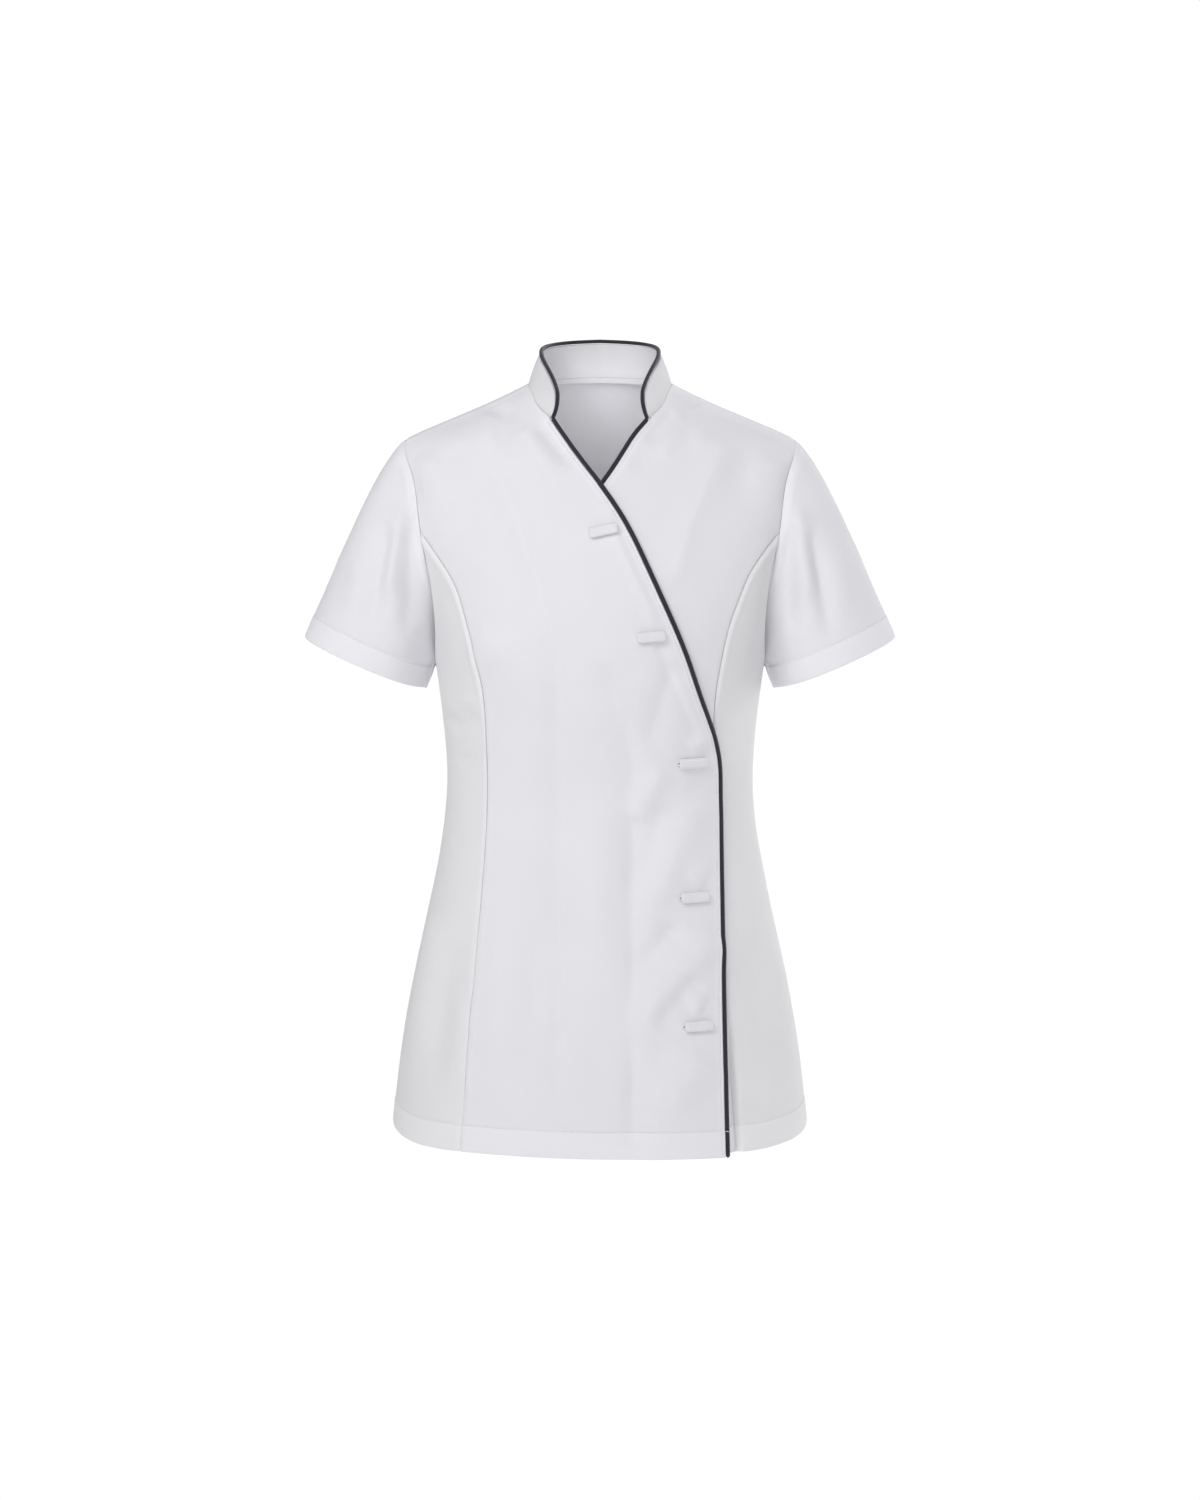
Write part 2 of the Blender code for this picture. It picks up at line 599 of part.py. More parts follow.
def collar_grid():
    """Collar, from its seam (row 0) up to its free edge."""
    knots = neck_stations()
    share = np.linspace(0, len(knots) - 1, COLS_COLLAR + 1)
    deg = np.interp(share, np.arange(len(knots)), knots)
    low = np.floor(share - 1e-9).clip(0).astype(int)
    t = (share - low)[:, None]
    base = neck_round(knots[low]) * (1 - t) + neck_round(knots[low + 1]) * t
    half = np.where(deg > 180, 360 - deg, deg)
    edge = collar_rows(half)[:, 1:4]
    edge[:, 0] *= np.where(deg > 180, -1, 1)
    v = np.linspace(0, 1, ROWS_COLLAR + 1)[:, None, None]
    out = base * [1, 1, 0]
    out /= np.linalg.norm(out, axis=1, keepdims=True)
    high = np.minimum(np.linalg.norm(edge - base, axis=1, keepdims=True) / 0.03, 1)
    return base * (1 - v) + edge * v + out * high * 4 * v * (1 - v) * COLLAR_BULGE, edge


def edge_path(edge, top_z, low_z, step, raise_by, lifted):
    """Piping line along a free edge, down from the neck."""
    count = max(2, int(round((top_z - low_z) / step)))
    z = np.linspace(top_z, low_z, count + 1)
    p = ring_point(ring_angle(edge(z)[:, 0], z), z)
    if lifted:
        p = lift(p)
    return p + body_normal(p) * raise_by


# ---------------------------------------------------------------------- build
clear_scene()
tunic = bpy.data.collections.new("beautician_tunic")
bpy.context.scene.collection.children.link(tunic)
white = material("white_twill", (0.83, 0.83, 0.86), 0.85)
sleeve_white = material("white_twill_sleeve", (0.80, 0.80, 0.83), 0.85)
collar_white = material("white_twill_collar", (0.82, 0.82, 0.85), 0.85)
toggle_white = material("white_toggle", (0.84, 0.84, 0.87), 0.75)
navy = material("navy_piping", (0.012, 0.011, 0.028), 0.60)

room = PIPE + PIPE_GAP
v_rows = len(levels(-0.67)) - 1 + ROWS_V

# overlap front, with its piped edge
right = front_grid(-1, lap_edge, hem_right, COLS_RIGHT)
lap_line = right[:v_rows + 1, -1].copy()
apex = len(levels(HEM_BACK)) - 1
seam_gap = SEAM / 2 + 0.0004 * (np.abs(np.arange(len(right)) - apex) < 2)
right = draw_in(right, "left", seam_gap)
right = draw_in(right, "top", SEAM)
right = draw_in(right, "right", np.where(np.arange(len(right)) <= v_rows, room, SEAM / 2))
cloth_object("front_right", lift(hem_in(right, "top")), white)

# underlap front
left = front_grid(1, under_edge, hem_left, COLS_LEFT)
under_line = left[:v_rows + 1, -1].copy()
left = draw_in(left, "left", seam_gap)
left = draw_in(left, "top", SEAM)
left = draw_in(left, "right", np.where(np.arange(len(left)) <= v_rows, room, SEAM / 2))
cloth_object("front_left", hem_in(left, "top"), white)

# side fronts
for name, sign, hem in (("side_front_right", -1, hem_right), ("side_front_left", 1, hem_left)):
    grid = side_grid(sign, hem)
    grid = draw_in(grid, "left", SEAM)
    grid = draw_in(grid, "right", seam_gap[:apex + 1])
    grid = draw_in(grid, "top", SEAM / 2)
    cloth_object(name, grid, white)

# back
grid = back_grid()
for border in ("left", "right", "top"):
    grid = draw_in(grid, border, SEAM)
cloth_object("back", hem_in(grid, "top"), white)

# sleeves
cloth_object("sleeve_left", sleeve_grid(), sleeve_white, closed=True)
cloth_object("sleeve_right", sleeve_grid(), sleeve_white, mirror=True, closed=True)

# collar and its piping
grid, collar_line = collar_grid()
grid = draw_in(grid, "bottom", SEAM)
ends = np.minimum(np.arange(COLS_COLLAR + 1), np.arange(COLS_COLLAR, -1, -1))
grid = draw_in(grid, "top", room + 0.0010 * (ends < 2))
grid = draw_in(grid, "left", END_GAP)
grid = draw_in(grid, "right", END_GAP)
cloth_object("collar", grid, collar_white)
inward = np.stack([-collar_line[:, 0], -collar_line[:, 1], np.zeros(len(collar_line))], -1)
inward /= np.linalg.norm(inward, axis=1, keepdims=True)
line = collar_line + inward * WALL / 2
for end, by in ((0, 1), (-1, -2)):
    step = line[by] - line[end]
    line[end] += step * (2 * PIPE + PIPE_GAP) / np.linalg.norm(step)
piping_object("piping_collar", line, navy)

# piping down the free edges
line = lift(lap_line)
line = line + body_normal(lap_line) * -0.0003
piping_object("piping_front_right", line[::-1], navy)
keep = under_line[:, 2] > -0.105
line = under_line[keep]
line = line + body_normal(line) * -0.0009
piping_object("piping_front_left", line[::-1], navy)

# toggles
for i, (x, z, tilt) in enumerate(TOGGLES):
    toggle_object("toggle_%d" % (i + 1), x, z, tilt, toggle_white)
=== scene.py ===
"""Looks of the beautician tunic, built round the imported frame.

The cloth pieces are fine surfaces on the same body form as the frame's solids,
with their seam edges turned in, their hems turned up, soft creases and a thin
wall.  Frame: metres, +Z up, the front faces -Y, the wearer's right is at -X.
"""

import math

import bpy
import numpy as np
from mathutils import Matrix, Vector


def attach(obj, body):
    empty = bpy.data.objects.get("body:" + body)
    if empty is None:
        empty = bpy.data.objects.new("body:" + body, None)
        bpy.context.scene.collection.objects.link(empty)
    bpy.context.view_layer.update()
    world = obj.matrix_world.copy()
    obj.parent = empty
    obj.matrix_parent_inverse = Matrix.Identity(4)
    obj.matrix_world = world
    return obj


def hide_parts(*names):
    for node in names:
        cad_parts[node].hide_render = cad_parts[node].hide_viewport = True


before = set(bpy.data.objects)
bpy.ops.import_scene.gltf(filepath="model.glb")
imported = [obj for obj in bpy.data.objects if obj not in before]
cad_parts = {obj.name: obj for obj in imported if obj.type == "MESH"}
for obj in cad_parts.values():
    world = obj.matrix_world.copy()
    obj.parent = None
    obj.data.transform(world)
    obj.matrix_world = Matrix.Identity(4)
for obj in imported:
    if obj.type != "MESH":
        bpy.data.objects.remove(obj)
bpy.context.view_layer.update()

# ------------------------------------------------------------- sizes (metres)
THICK = 0.0005           # cloth
ROLL = 0.0006            # radius of a turned-in seam edge
HEM_ROLL = 0.0008        # radius of the fold at a hem
HEM_DEEP = 0.0240        # hem, fold to stitches
CUFF_STITCH = 0.0215     # sleeve hem, fold to stitches
COLLAR_THICK = 0.0018    # two layers and a stiffener
GAP = 0.00003            # between two turned edges of a seam
LAP = 0.0032
LAP_RAMP = 0.028
PIPE_WIDE, PIPE_HIGH = 0.0020, 0.0017  # half sizes of the piping
PIPE_ROOM = 0.0021       # middle of the piping to the cloth beside it
EDGE_STITCH = 0.0051     # middle of the piping to the stitches beside it
COLLAR_BULGE = 0.0026
SPLIT_Z = -0.1198
ARM_TOP, ARM_LOW = -0.038, -0.236
ARM_FRONT, ARM_BACK = 0.0535, 0.0550
ARM_SKEW = 0.10
SPLIT_DEG, SHOULDER_DEG = 80.0, 20.0
NECK_CORNER, NECK_END = 62.0, 17.8
CUFF_MID, CUFF_OUT, CUFF_DEEP = (0.2152, 0.0, -0.2412), (0.0552, 0.0, 0.0240), 0.0560
SLEEVE_AIM = (0.42, 0.0, -0.907)
TOGGLE_LONG, TOGGLE_HIGH, TOGGLE_DEEP = 0.0244, 0.0094, 0.0042
TOGGLE_GAP = 0.0004

# light: strength all round, then the lamps
WORLD = 0.25
FLOOR_GLOW = 0.40
BODY = (0.0, 0.0, -0.33)
LIGHTS = (
    # name, place, what_it_faces, size, power
    ("front", (0.15, -3.3, 0.3), BODY, 2.4, 21.5),
    ("front_high", (0.0, -1.7, 1.9), BODY, 1.8, 14.5),
    ("key", (-1.6, -2.4, 1.6), BODY, 1.2, 37.0),
    ("side_right", (2.6, -0.4, 0.3), BODY, 1.8, 2.5),
    ("rim_left", (-2.4, 1.0, 0.1), BODY, 1.8, 6.0),
    ("rim_right", (2.4, 1.0, 0.1), BODY, 1.8, 26.0),
    ("top", (0.0, 0.0, 2.3), BODY, 2.0, 2.0),
    ("inside", (0.0, 0.0, -0.045), (0.0, 0.065, 0.005), 0.05, 0.020),
    ("back", (1.5, 2.6, 1.5), BODY, 1.4, 27.0),
    ("back_low", (-0.6, 3.2, 0.2), BODY, 2.4, 9.0),
)
# how deep a crease is pressed, by its width in frame pixels
PRESS_WIDTH, PRESS = (9.0, 20.0), (4.4, 9.0)
SLEEVE_PRESS, SLEEVE_BACK_PRESS = 6.0, 2.5
DOUBLED_PAINTED_LIGHT = 0.050           # painted light: how much lighter the colour is painted on cloth in two layers and on the seam rolls

TORSO = (
    # z, half_width, front_depth, back_depth, front_power, back_power, pinch
    (0.0220, 0.0480, 0.0500, 0.0545, 2.00, 2.00, 0.00),
    (0.0125, 0.0650, 0.0520, 0.0600, 2.00, 2.00, 0.00),
    (-0.0080, 0.1085, 0.0610, 0.0720, 2.00, 2.00, 0.22),
    (-0.0220, 0.1420, 0.0690, 0.0800, 2.00, 2.00, 0.30),
    (-0.0380, 0.1766, 0.0770, 0.0880, 2.00, 2.00, 0.32),
    (-0.0700, 0.1925, 0.0900, 0.0990, 2.05, 2.05, 0.22),
    (-0.1100, 0.1870, 0.1050, 0.1060, 2.15, 2.15, 0.10),
    (-0.1600, 0.1695, 0.1180, 0.1070, 2.25, 2.20, 0.00),
    (-0.2150, 0.1545, 0.1245, 0.1000, 2.35, 2.30, 0.00),
    (-0.2700, 0.1463, 0.1170, 0.0900, 2.35, 2.30, 0.00),
    (-0.3500, 0.1404, 0.1000, 0.0850, 2.30, 2.30, 0.00),
    (-0.4300, 0.1502, 0.1030, 0.0960, 2.30, 2.30, 0.00),
    (-0.5200, 0.1700, 0.1160, 0.1170, 2.35, 2.35, 0.00),
    (-0.6000, 0.1845, 0.1280, 0.1280, 2.40, 2.35, 0.00),
    (-0.6800, 0.1938, 0.1380, 0.1360, 2.40, 2.40, 0.00),
)
PRINCESS_RIGHT = (
    # z, x
    (-0.1198, 0.1600), (-0.1376, 0.1475), (-0.1603, 0.1320), (-0.1896, 0.1212),
    (-0.2197, 0.1133), (-0.2590, 0.1047), (-0.3000, 0.1021),
    (-0.3500, 0.1013), (-0.4000, 0.1036), (-0.4700, 0.1090), (-0.5400, 0.1148),
    (-0.6100, 0.1208), (-0.6760, 0.1260),
)
PRINCESS_LEFT = (
    # z, x
    (-0.1198, 0.1600), (-0.1350, 0.1475), (-0.1540, 0.1340), (-0.1730, 0.1253),
    (-0.1960, 0.1164), (-0.2233, 0.1096), (-0.2550, 0.1040), (-0.2908, 0.1014),
    (-0.3400, 0.1014), (-0.4127, 0.1041), (-0.4923, 0.1084), (-0.5751, 0.1143),
    (-0.6471, 0.1199), (-0.6760, 0.1218),
)
LAP_EDGE = (
    # z, x
    (-0.0195, -0.0416), (-0.0383, -0.0282), (-0.0766, 0.0000), (-0.1059, 0.0200),
    (-0.1500, 0.0422), (-0.1994, 0.0646), (-0.2278, 0.0760), (-0.2626, 0.0877),
    (-0.2954, 0.0990), (-0.3118, 0.1034), (-0.3270, 0.1056), (-0.3468, 0.1064),
    (-0.4118, 0.1077), (-0.5916, 0.1110), (-0.6760, 0.1131),
)
UNDER_EDGE = (
    # z, x
    (-0.0195, 0.0416), (-0.0301, 0.0322), (-0.0449, 0.0220), (-0.0632, 0.0101),
    (-0.0766, 0.0004), (-0.0920, -0.0106), (-0.1073, -0.0190), (-0.1200, -0.0205),
    (-0.1400, -0.0160), (-0.1650, -0.0060), (-0.2084, 0.0120), (-0.2644, 0.0350),
    (-0.3238, 0.0487), (-0.4095, 0.0534), (-0.6760, 0.0568),
)
COLLAR = (
    # seam_angle, seam_z, edge_x, edge_y, edge_z
    (17.8, -0.0195, 0.0411, -0.0668, -0.0165),
    (26.0, -0.0118, 0.0386, -0.0640, -0.0080),
    (34.0, -0.0052, 0.0379, -0.0580, 0.0010),
    (46.0, 0.0030, 0.0396, -0.0485, 0.0096),
    (62.0, 0.0088, 0.0433, -0.0370, 0.0182),
    (76.0, 0.0116, 0.0480, -0.0240, 0.0268),
    (90.0, 0.0130, 0.0525, -0.0090, 0.0352),
    (106.0, 0.0143, 0.0536, 0.0080, 0.0423),
    (128.0, 0.0160, 0.0467, 0.0280, 0.0472),
    (153.0, 0.0175, 0.0276, 0.0445, 0.0502),
    (180.0, 0.0182, 0.0000, 0.0505, 0.0516),
)
SLEEVE = (
    # angle, out, forward, down, reach, cuff_reach
    (0, 0.82, 0.00, 0.57, 0.031, 0.072),
    (45, 0.80, 0.30, 0.52, 0.036, 0.062),
    (90, 0.62, 0.28, 0.73, 0.036, 0.045),
    (135, 0.22, 0.22, 0.95, 0.024, 0.022),
    (180, 0.05, 0.00, 1.00, 0.010, 0.010),
    (225, 0.22, -0.22, 0.95, 0.024, 0.022),
    (270, 0.62, -0.30, 0.73, 0.036, 0.045),
    (315, 0.80, -0.32, 0.52, 0.036, 0.062),
    (360, 0.82, 0.00, 0.57, 0.031, 0.072),
)
HEM_RIGHT = (
    # x, z
    (-0.1940, -0.6700), (-0.1780, -0.6727), (-0.1600, -0.6731), (-0.1256, -0.6715),
    (0.0, -0.6718), (0.0600, -0.6726), (0.1130, -0.6748),
)
HEM_LEFT = (
    # x, z
    (0.0568, -0.6713), (0.1168, -0.6713), (0.1454, -0.6727), (0.1640, -0.6726),
    (0.1780, -0.6722), (0.1940, -0.6700),
)
HEM_BACK = -0.6700
TOGGLES = (
    # x, z, tilt_degrees, loop
    (0.0026, -0.1178, 10.0, False),
    (0.0438, -0.2084, 3.0, False),
    (0.0810, -0.3222, -0.5, True),
    (0.0829, -0.4441, -0.5, True),
    (0.0866, -0.5570, -1.0, True),
)

# ---------------------------------------------------------------------- camera
EYE = np.array([0.0, -2.60, -0.02])
LOOK = np.array([0.0, 0.0, -0.322])
FOCAL = 2845.0           # in pixels of the 1200 x 1500 frame
AIM = (LOOK - EYE) / np.linalg.norm(LOOK - EYE)
SIDE = np.array([1.0, 0.0, 0.0])
RISE = np.cross(SIDE, AIM)


def seen(p):
    """Where points show in the 1200 x 1500 frame."""
    q = p - EYE
    far = q @ AIM
    return np.stack([600 + FOCAL * (q @ SIDE) / far, 750 - FOCAL * (q @ RISE) / far], -1)


# ---------------------------------------------------------------------- creases
# Soft creases of the front, as the camera sees them.  Height is in mm, out of
# the cloth where positive; left and right are the widths of its two slopes and
# the fades its run in and out, in frame pixels; sharp is 0 for a round crease
# and 1 for one with an edge.
FRONT_CREASES = (
    # height, left, right, fade_in, fade_out, sharp, points down the crease
    (-0.72, 24, 22, 60, 120, 0.9, ((479, 432), (496, 470), (508, 498), (524, 545), (538, 590),
                                   (547, 625), (552, 650), (556, 722), (557.5, 814), (558, 940),
                                   (557, 1040), (553, 1150))),
    (-0.48, 16, 18, 30, 20, 0.9, ((601, 655), (613, 690), (624, 720), (630, 745), (633, 814),
                                  (633, 950), (633, 1095), (634, 1152))),
    (0.50, 20, 18, 30, 30, 0.8, ((733, 425), (722, 448), (703, 493), (690, 527), (679, 563), (670, 596))),
    # from the collar's ends
    (-0.75, 8, 12, 8, 22, 0.2, ((537, 421), (548, 436), (561, 452), (574, 472))),
    (0.45, 8, 10, 10, 25, 0.2, ((522, 424), (531, 442), (543, 462), (553, 484))),
    (-0.55, 9, 12, 10, 30, 0.2, ((507, 402), (503, 418), (502, 437), (505, 460))),
    (0.40, 12, 12, 10, 30, 0.2, ((493, 410), (486, 432), (481, 455))),
    (-0.60, 9, 9, 6, 16, 0.2, ((672, 409), (663, 420), (654, 432), (646, 446))),
    (0.50, 9, 9, 8, 22, 0.2, ((684, 414), (676, 432), (664, 449), (648, 466))),
    (-0.50, 8, 8, 10, 18, 0.2, ((668, 452), (655, 458), (641, 465), (629, 474))),
    (0.45, 11, 11, 8, 30, 0.2, ((690, 404), (697, 420), (701, 440), (700, 462))),
    # beside the placket
    (0.35, 8, 6, 8, 14, 0.6, ((600, 500), (613, 522), (617, 539), (629, 566), (640, 590), (650, 612), (656, 630))),
    (-0.40, 6, 9, 6, 12, 0.4, ((655, 640), (664, 660), (680, 700), (697, 742))),
    (0.45, 9, 9, 20, 14, 0.3, ((666, 650), (682, 690), (699, 728), (706, 750))),
    (0.55, 12, 14, 12, 14, 0.2, ((664, 765), (655, 780), (642, 800), (632, 825))),
    (-0.45, 12, 12, 10, 30, 0.2, ((676, 660), (665, 690), (655, 725), (648, 760))),
    (0.60, 16, 16, 30, 40, 0.2, ((700, 790), (690, 820), (676, 850), (660, 885), (640, 920))),
    (-0.45, 16, 14, 20, 30, 0.2, ((664, 800), (652, 840), (646, 870), (641, 905))),
    (0.80, 16, 18, 20, 40, 0.2, ((716, 930), (700, 950), (684, 970), (664, 995), (644, 1020), (630, 1050))),
    (-0.70, 14, 16, 20, 30, 0.2, ((684, 920), (668, 935), (652, 955), (640, 985))),
    (-0.58, 14, 14, 16, 30, 0.2, ((700, 972), (682, 992), (664, 1015), (650, 1042))),
    (0.60, 18, 18, 16, 30, 0.2, ((706, 1052), (692, 1072), (676, 1095), (662, 1122))),
    (-0.45, 16, 16, 16, 26, 0.2, ((670, 1040), (657, 1062), (648, 1090), (645, 1115))),
    # pull above and below each of the low toggles
    (0.50, 10, 10, 10, 10, 0.1, ((686, 748), (696, 744), (706, 747))),
    (0.50, 12, 12, 10, 10, 0.1, ((684, 880), (696, 876), (708, 880))),
    (0.70, 13, 13, 12, 12, 0.1, ((684, 1007), (695, 1003), (707, 1007))),
    (-0.35, 10, 10, 12, 12, 0.1, ((682, 785), (694, 787), (706, 784))),
    # under the bust, at the waist and over the hips
    (-0.50, 26, 26, 40, 40, 0.1, ((482, 610), (510, 626), (540, 634))),
    (0.35, 18, 18, 20, 20, 0.1, ((468, 640), (490, 652), (520, 655))),
    (-0.45, 16, 18, 60, 120, 0.2, ((536, 900), (534, 960), (532, 1030), (530, 1110))),
    (0.35, 22, 22, 60, 90, 0.1, ((500, 905), (496, 970), (493, 1040), (490, 1100))),
    (0.40, 22, 22, 60, 90, 0.1, ((596, 770), (597, 840), (596, 910), (593, 990))),
    (-0.30, 24, 24, 60, 60, 0.1, ((596, 1000), (594, 1060), (592, 1120))),
    (-0.45, 10, 12, 8, 16, 0.2, ((452, 732), (462, 722), (472, 716), (483, 712))),
    (0.40, 9, 10, 8, 14, 0.2, ((450, 716), (461, 707), (472, 702), (480, 700))),
    (-0.30, 10, 10, 10, 14, 0.2, ((455, 765), (467, 757), (482, 754))),
    (0.55, 16, 16, 30, 40, 0.1, ((436, 900), (428, 950), (421, 1000), (415, 1060))),
    (-0.50, 16, 18, 30, 40, 0.1, ((452, 930), (443, 985), (437, 1040), (432, 1095))),
    (0.40, 14, 14, 30, 40, 0.1, ((466, 980), (458, 1040), (452, 1100))),
    (0.40, 14, 14, 30, 40, 0.1, ((770, 930), (778, 990), (784, 1060))),
    (-0.50, 15, 15, 30, 40, 0.1, ((748, 930), (756, 990), (762, 1060), (766, 1110))),
    (0.35, 12, 12, 20, 30, 0.1, ((745, 1060), (748, 1090), (751, 1120))),
    (-0.40, 14, 14, 16, 20, 0.1, ((742, 700), (747, 730), (748, 765))),
    # chest, beside the armholes
    (0.45, 20, 20, 20, 40, 0.1, ((424, 448), (436, 480), (446, 520))),
    (-0.40, 18, 18, 20, 40, 0.1, ((446, 440), (458, 475), (468, 520), (474, 560))),
    (0.45, 20, 20, 20, 40, 0.1, ((776, 448), (765, 480), (756, 520))),
    (-0.40, 18, 18, 20, 40, 0.1, ((754, 440), (744, 475), (738, 515))),
)
# the same for the back, in millimetres of x and z
BACK_CREASES = (
    # height, left, right, fade_in, fade_out, sharp, points down the crease
    (-0.60, 16, 16, 40, 60, 0.4, ((-96, -70), (-104, -120), (-98, -180), (-88, -235))),
    (-0.55, 16, 16, 40, 60, 0.4, ((92, -74), (101, -124), (97, -178), (86, -240))),
    (0.45, 22, 22, 30, 60, 0.2, ((-52, -50), (-58, -110), (-56, -170))),
    (0.45, 22, 22, 30, 60, 0.2, ((48, -52), (55, -108), (52, -176))),
    (-0.45, 11, 12, 20, 40, 0.2, ((-112, -292), (-88, -303), (-60, -311), (-28, -314), (4, -311))),
    (0.40, 11, 11, 20, 40, 0.2, ((-114, -318), (-84, -328), (-50, -335), (-16, -337))),
    (-0.42, 11, 11, 20, 40, 0.2, ((114, -326), (86, -337), (52, -344), (16, -347))),
    (0.36, 12, 11, 20, 40, 0.2, ((112, -298), (84, -309), (54, -316), (24, -318))),
    (-0.50, 20, 22, 130, 60, 0.2, ((-22, -430), (-26, -500), (-30, -580), (-33, -650))),
    (0.55, 24, 22, 130, 60, 0.2, ((10, -440), (12, -510), (14, -590), (15, -655))),
    (-0.55, 20, 20, 130, 60, 0.2, ((48, -450), (56, -520), (60, -600), (62, -655))),
    (0.50, 20, 20, 130, 60, 0.2, ((-64, -455), (-72, -520), (-78, -600), (-80, -655))),
    (-0.55, 18, 18, 130, 60, 0.2, ((-112, -440), (-122, -520), (-130, -600), (-134, -650))),
    (0.50, 18, 18, 130, 60, 0.2, ((104, -450), (114, -520), (122, -600), (126, -650))),
    (-0.40, 14, 14, 20, 20, 0.2, ((-40, -4), (-62, -24), (-86, -44))),
    (-0.40, 14, 14, 20, 20, 0.2, ((42, -5), (64, -26), (84, -42))),
)
# sleeves, as the camera sees them; the same widths and heights as the front
SLEEVE_CREASES = (
    (-0.90, 12, 10, 24, 36, 0.3, ((388, 520), (384, 545), (377, 580), (371, 615), (366, 640))),
    (0.90, 9, 9, 24, 30, 0.3, ((402, 500), (398, 530), (391, 570), (387, 605))),
    (-0.70, 11, 12, 24, 26, 0.3, ((408, 520), (410, 560), (409, 600), (404, 640))),
    (0.50, 14, 14, 24, 40, 0.1, ((366, 545), (353, 580), (341, 612))),
    (-0.40, 12, 12, 20, 30, 0.1, ((352, 560), (338, 592), (326, 618))),
    (0.60, 8, 8, 14, 30, 0.2, ((408, 448), (411, 470), (413, 500))),
    (-0.45, 10, 10, 14, 30, 0.2, ((398, 455), (399, 480), (398, 505))),
    (-0.90, 10, 12, 24, 36, 0.3, ((810, 520), (814, 545), (822, 585), (828, 620), (834, 645))),
    (0.90, 10, 9, 24, 30, 0.3, ((798, 500), (801, 530), (806, 570), (811, 608))),
    (-0.75, 12, 10, 24, 26, 0.3, ((789, 520), (788, 560), (790, 600), (795, 640))),
    (0.55, 14, 14, 24, 40, 0.1, ((832, 545), (846, 582), (858, 616))),
    (-0.45, 12, 12, 20, 30, 0.1, ((848, 560), (862, 592), (874, 622))),
    (0.60, 8, 8, 14, 30, 0.2, ((790, 448), (787, 470), (785, 500))),
)
SLEEVE_TUCK = ((425, 560), (430, 595), (432, 630), (433, 668))
SLEEVE_INNER = ((426, 525), (431, 580), (435, 620), (438, 672), (440, 720))
# the back of the sleeves: angle round the armhole and share of the length
SLEEVE_BACK = (
    # height, width_degrees, angle_at_the_top, angle_at_the_cuff, from, to
    (-0.9, 9, 318, 322, 0.12, 0.95), (0.8, 9, 301, 306, 0.10, 0.90),
    (-0.8, 8, 284, 288, 0.15, 0.85), (0.7, 10, 262, 268, 0.10, 0.90),
    (-0.7, 9, 240, 246, 0.05, 0.80), (0.5, 10, 340, 343, 0.10, 0.95),
)


# ---------------------------------------------------------------------- curves
class Spline:
    """Smooth curve through table rows: first column in, the others out."""

    def __init__(self, rows):
        rows = np.array(sorted(rows), dtype=float)
        self.x, self.y = rows[:, 0], rows[:, 1:]
        n, h = len(self.x), np.diff(self.x)
        a, r = np.eye(n), np.zeros_like(self.y)
        for i in range(1, n - 1):
            a[i, i - 1:i + 2] = h[i - 1], 2 * (h[i - 1] + h[i]), h[i]
            r[i] = 6 * ((self.y[i + 1] - self.y[i]) / h[i]
                        - (self.y[i] - self.y[i - 1]) / h[i - 1])
        self.m, self.h = np.linalg.solve(a, r), h

    def __call__(self, x):
        x = np.clip(np.asarray(x, float), self.x[0], self.x[-1])
        i = np.clip(np.searchsorted(self.x, x) - 1, 0, len(self.x) - 2)
        t, h = (x - self.x[i])[..., None], self.h[i][..., None]
        y0, y1, m0, m1 = self.y[i], self.y[i + 1], self.m[i], self.m[i + 1]
        return (y0 + t * ((y1 - y0) / h - h * (2 * m0 + m1) / 6)
                + t * t * m0 / 2 + t ** 3 * (m1 - m0) / (6 * h))


torso = Spline(TORSO)
princess = {-1: Spline(PRINCESS_RIGHT), 1: Spline(PRINCESS_LEFT)}
lap_edge, under_edge = Spline(LAP_EDGE), Spline(UNDER_EDGE)
collar_rows, sleeve_rows = Spline(COLLAR), Spline(SLEEVE)
hem_right, hem_left = Spline(HEM_RIGHT), Spline(HEM_LEFT)


def smoothstep(t):
    t = np.clip(t, 0.0, 1.0)
    return t * t * (3 - 2 * t)


def unit(v):
    return v / np.maximum(np.linalg.norm(v, axis=-1, keepdims=True), 1e-12)


# ------------------------------------------------------------------- body form
def section(z):
    s = torso(z)
    return [s[..., i] for i in range(6)]


def body_value(p):
    a, f, b, pf, pb, k = section(p[..., 2])
    front = p[..., 1] < 0
    u = np.abs(p[..., 0]) / a
    deep = np.where(front, f, b) * np.maximum(1 - k * u * u, 0.2)
    return u ** np.where(front, pf, pb) + (p[..., 1] / deep) ** 2 - 1


def body_normal(p):
    g, e = np.zeros_like(p), 2e-4
    for i in range(3):
        d = np.zeros(3)
        d[i] = e
        g[..., i] = body_value(p + d) - body_value(p - d)
    return unit(g)


def ring_point(phi, z):
    phi, z = np.broadcast_arrays(np.asarray(phi, float), np.asarray(z, float))
    a, f, b, pf, pb, k = section(z)
    s, c = np.abs(np.sin(phi)), np.cos(phi)
    u = s ** (2 / np.where(c > 0, pf, pb))
    deep = np.where(c > 0, f, b) * (1 - k * u * u)
    return np.stack([a * u * np.sign(np.sin(phi)), -deep * c, z], -1)


def ring_angle(x, z):
    a, f, b, pf, pb, k = section(z)
    return np.arcsin(np.minimum(np.abs(x) / a, 1.0) ** (pf / 2)) * np.sign(x)


def width_at(y, z):
    lo, hi = np.zeros_like(z), section(z)[0] * 1.0
    for _ in range(44):
        mid = (lo + hi) / 2
        inside = body_value(np.stack([mid, y, z], -1)) < 0
        lo, hi = np.where(inside, mid, lo), np.where(inside, hi, mid)
    return (lo + hi) / 2


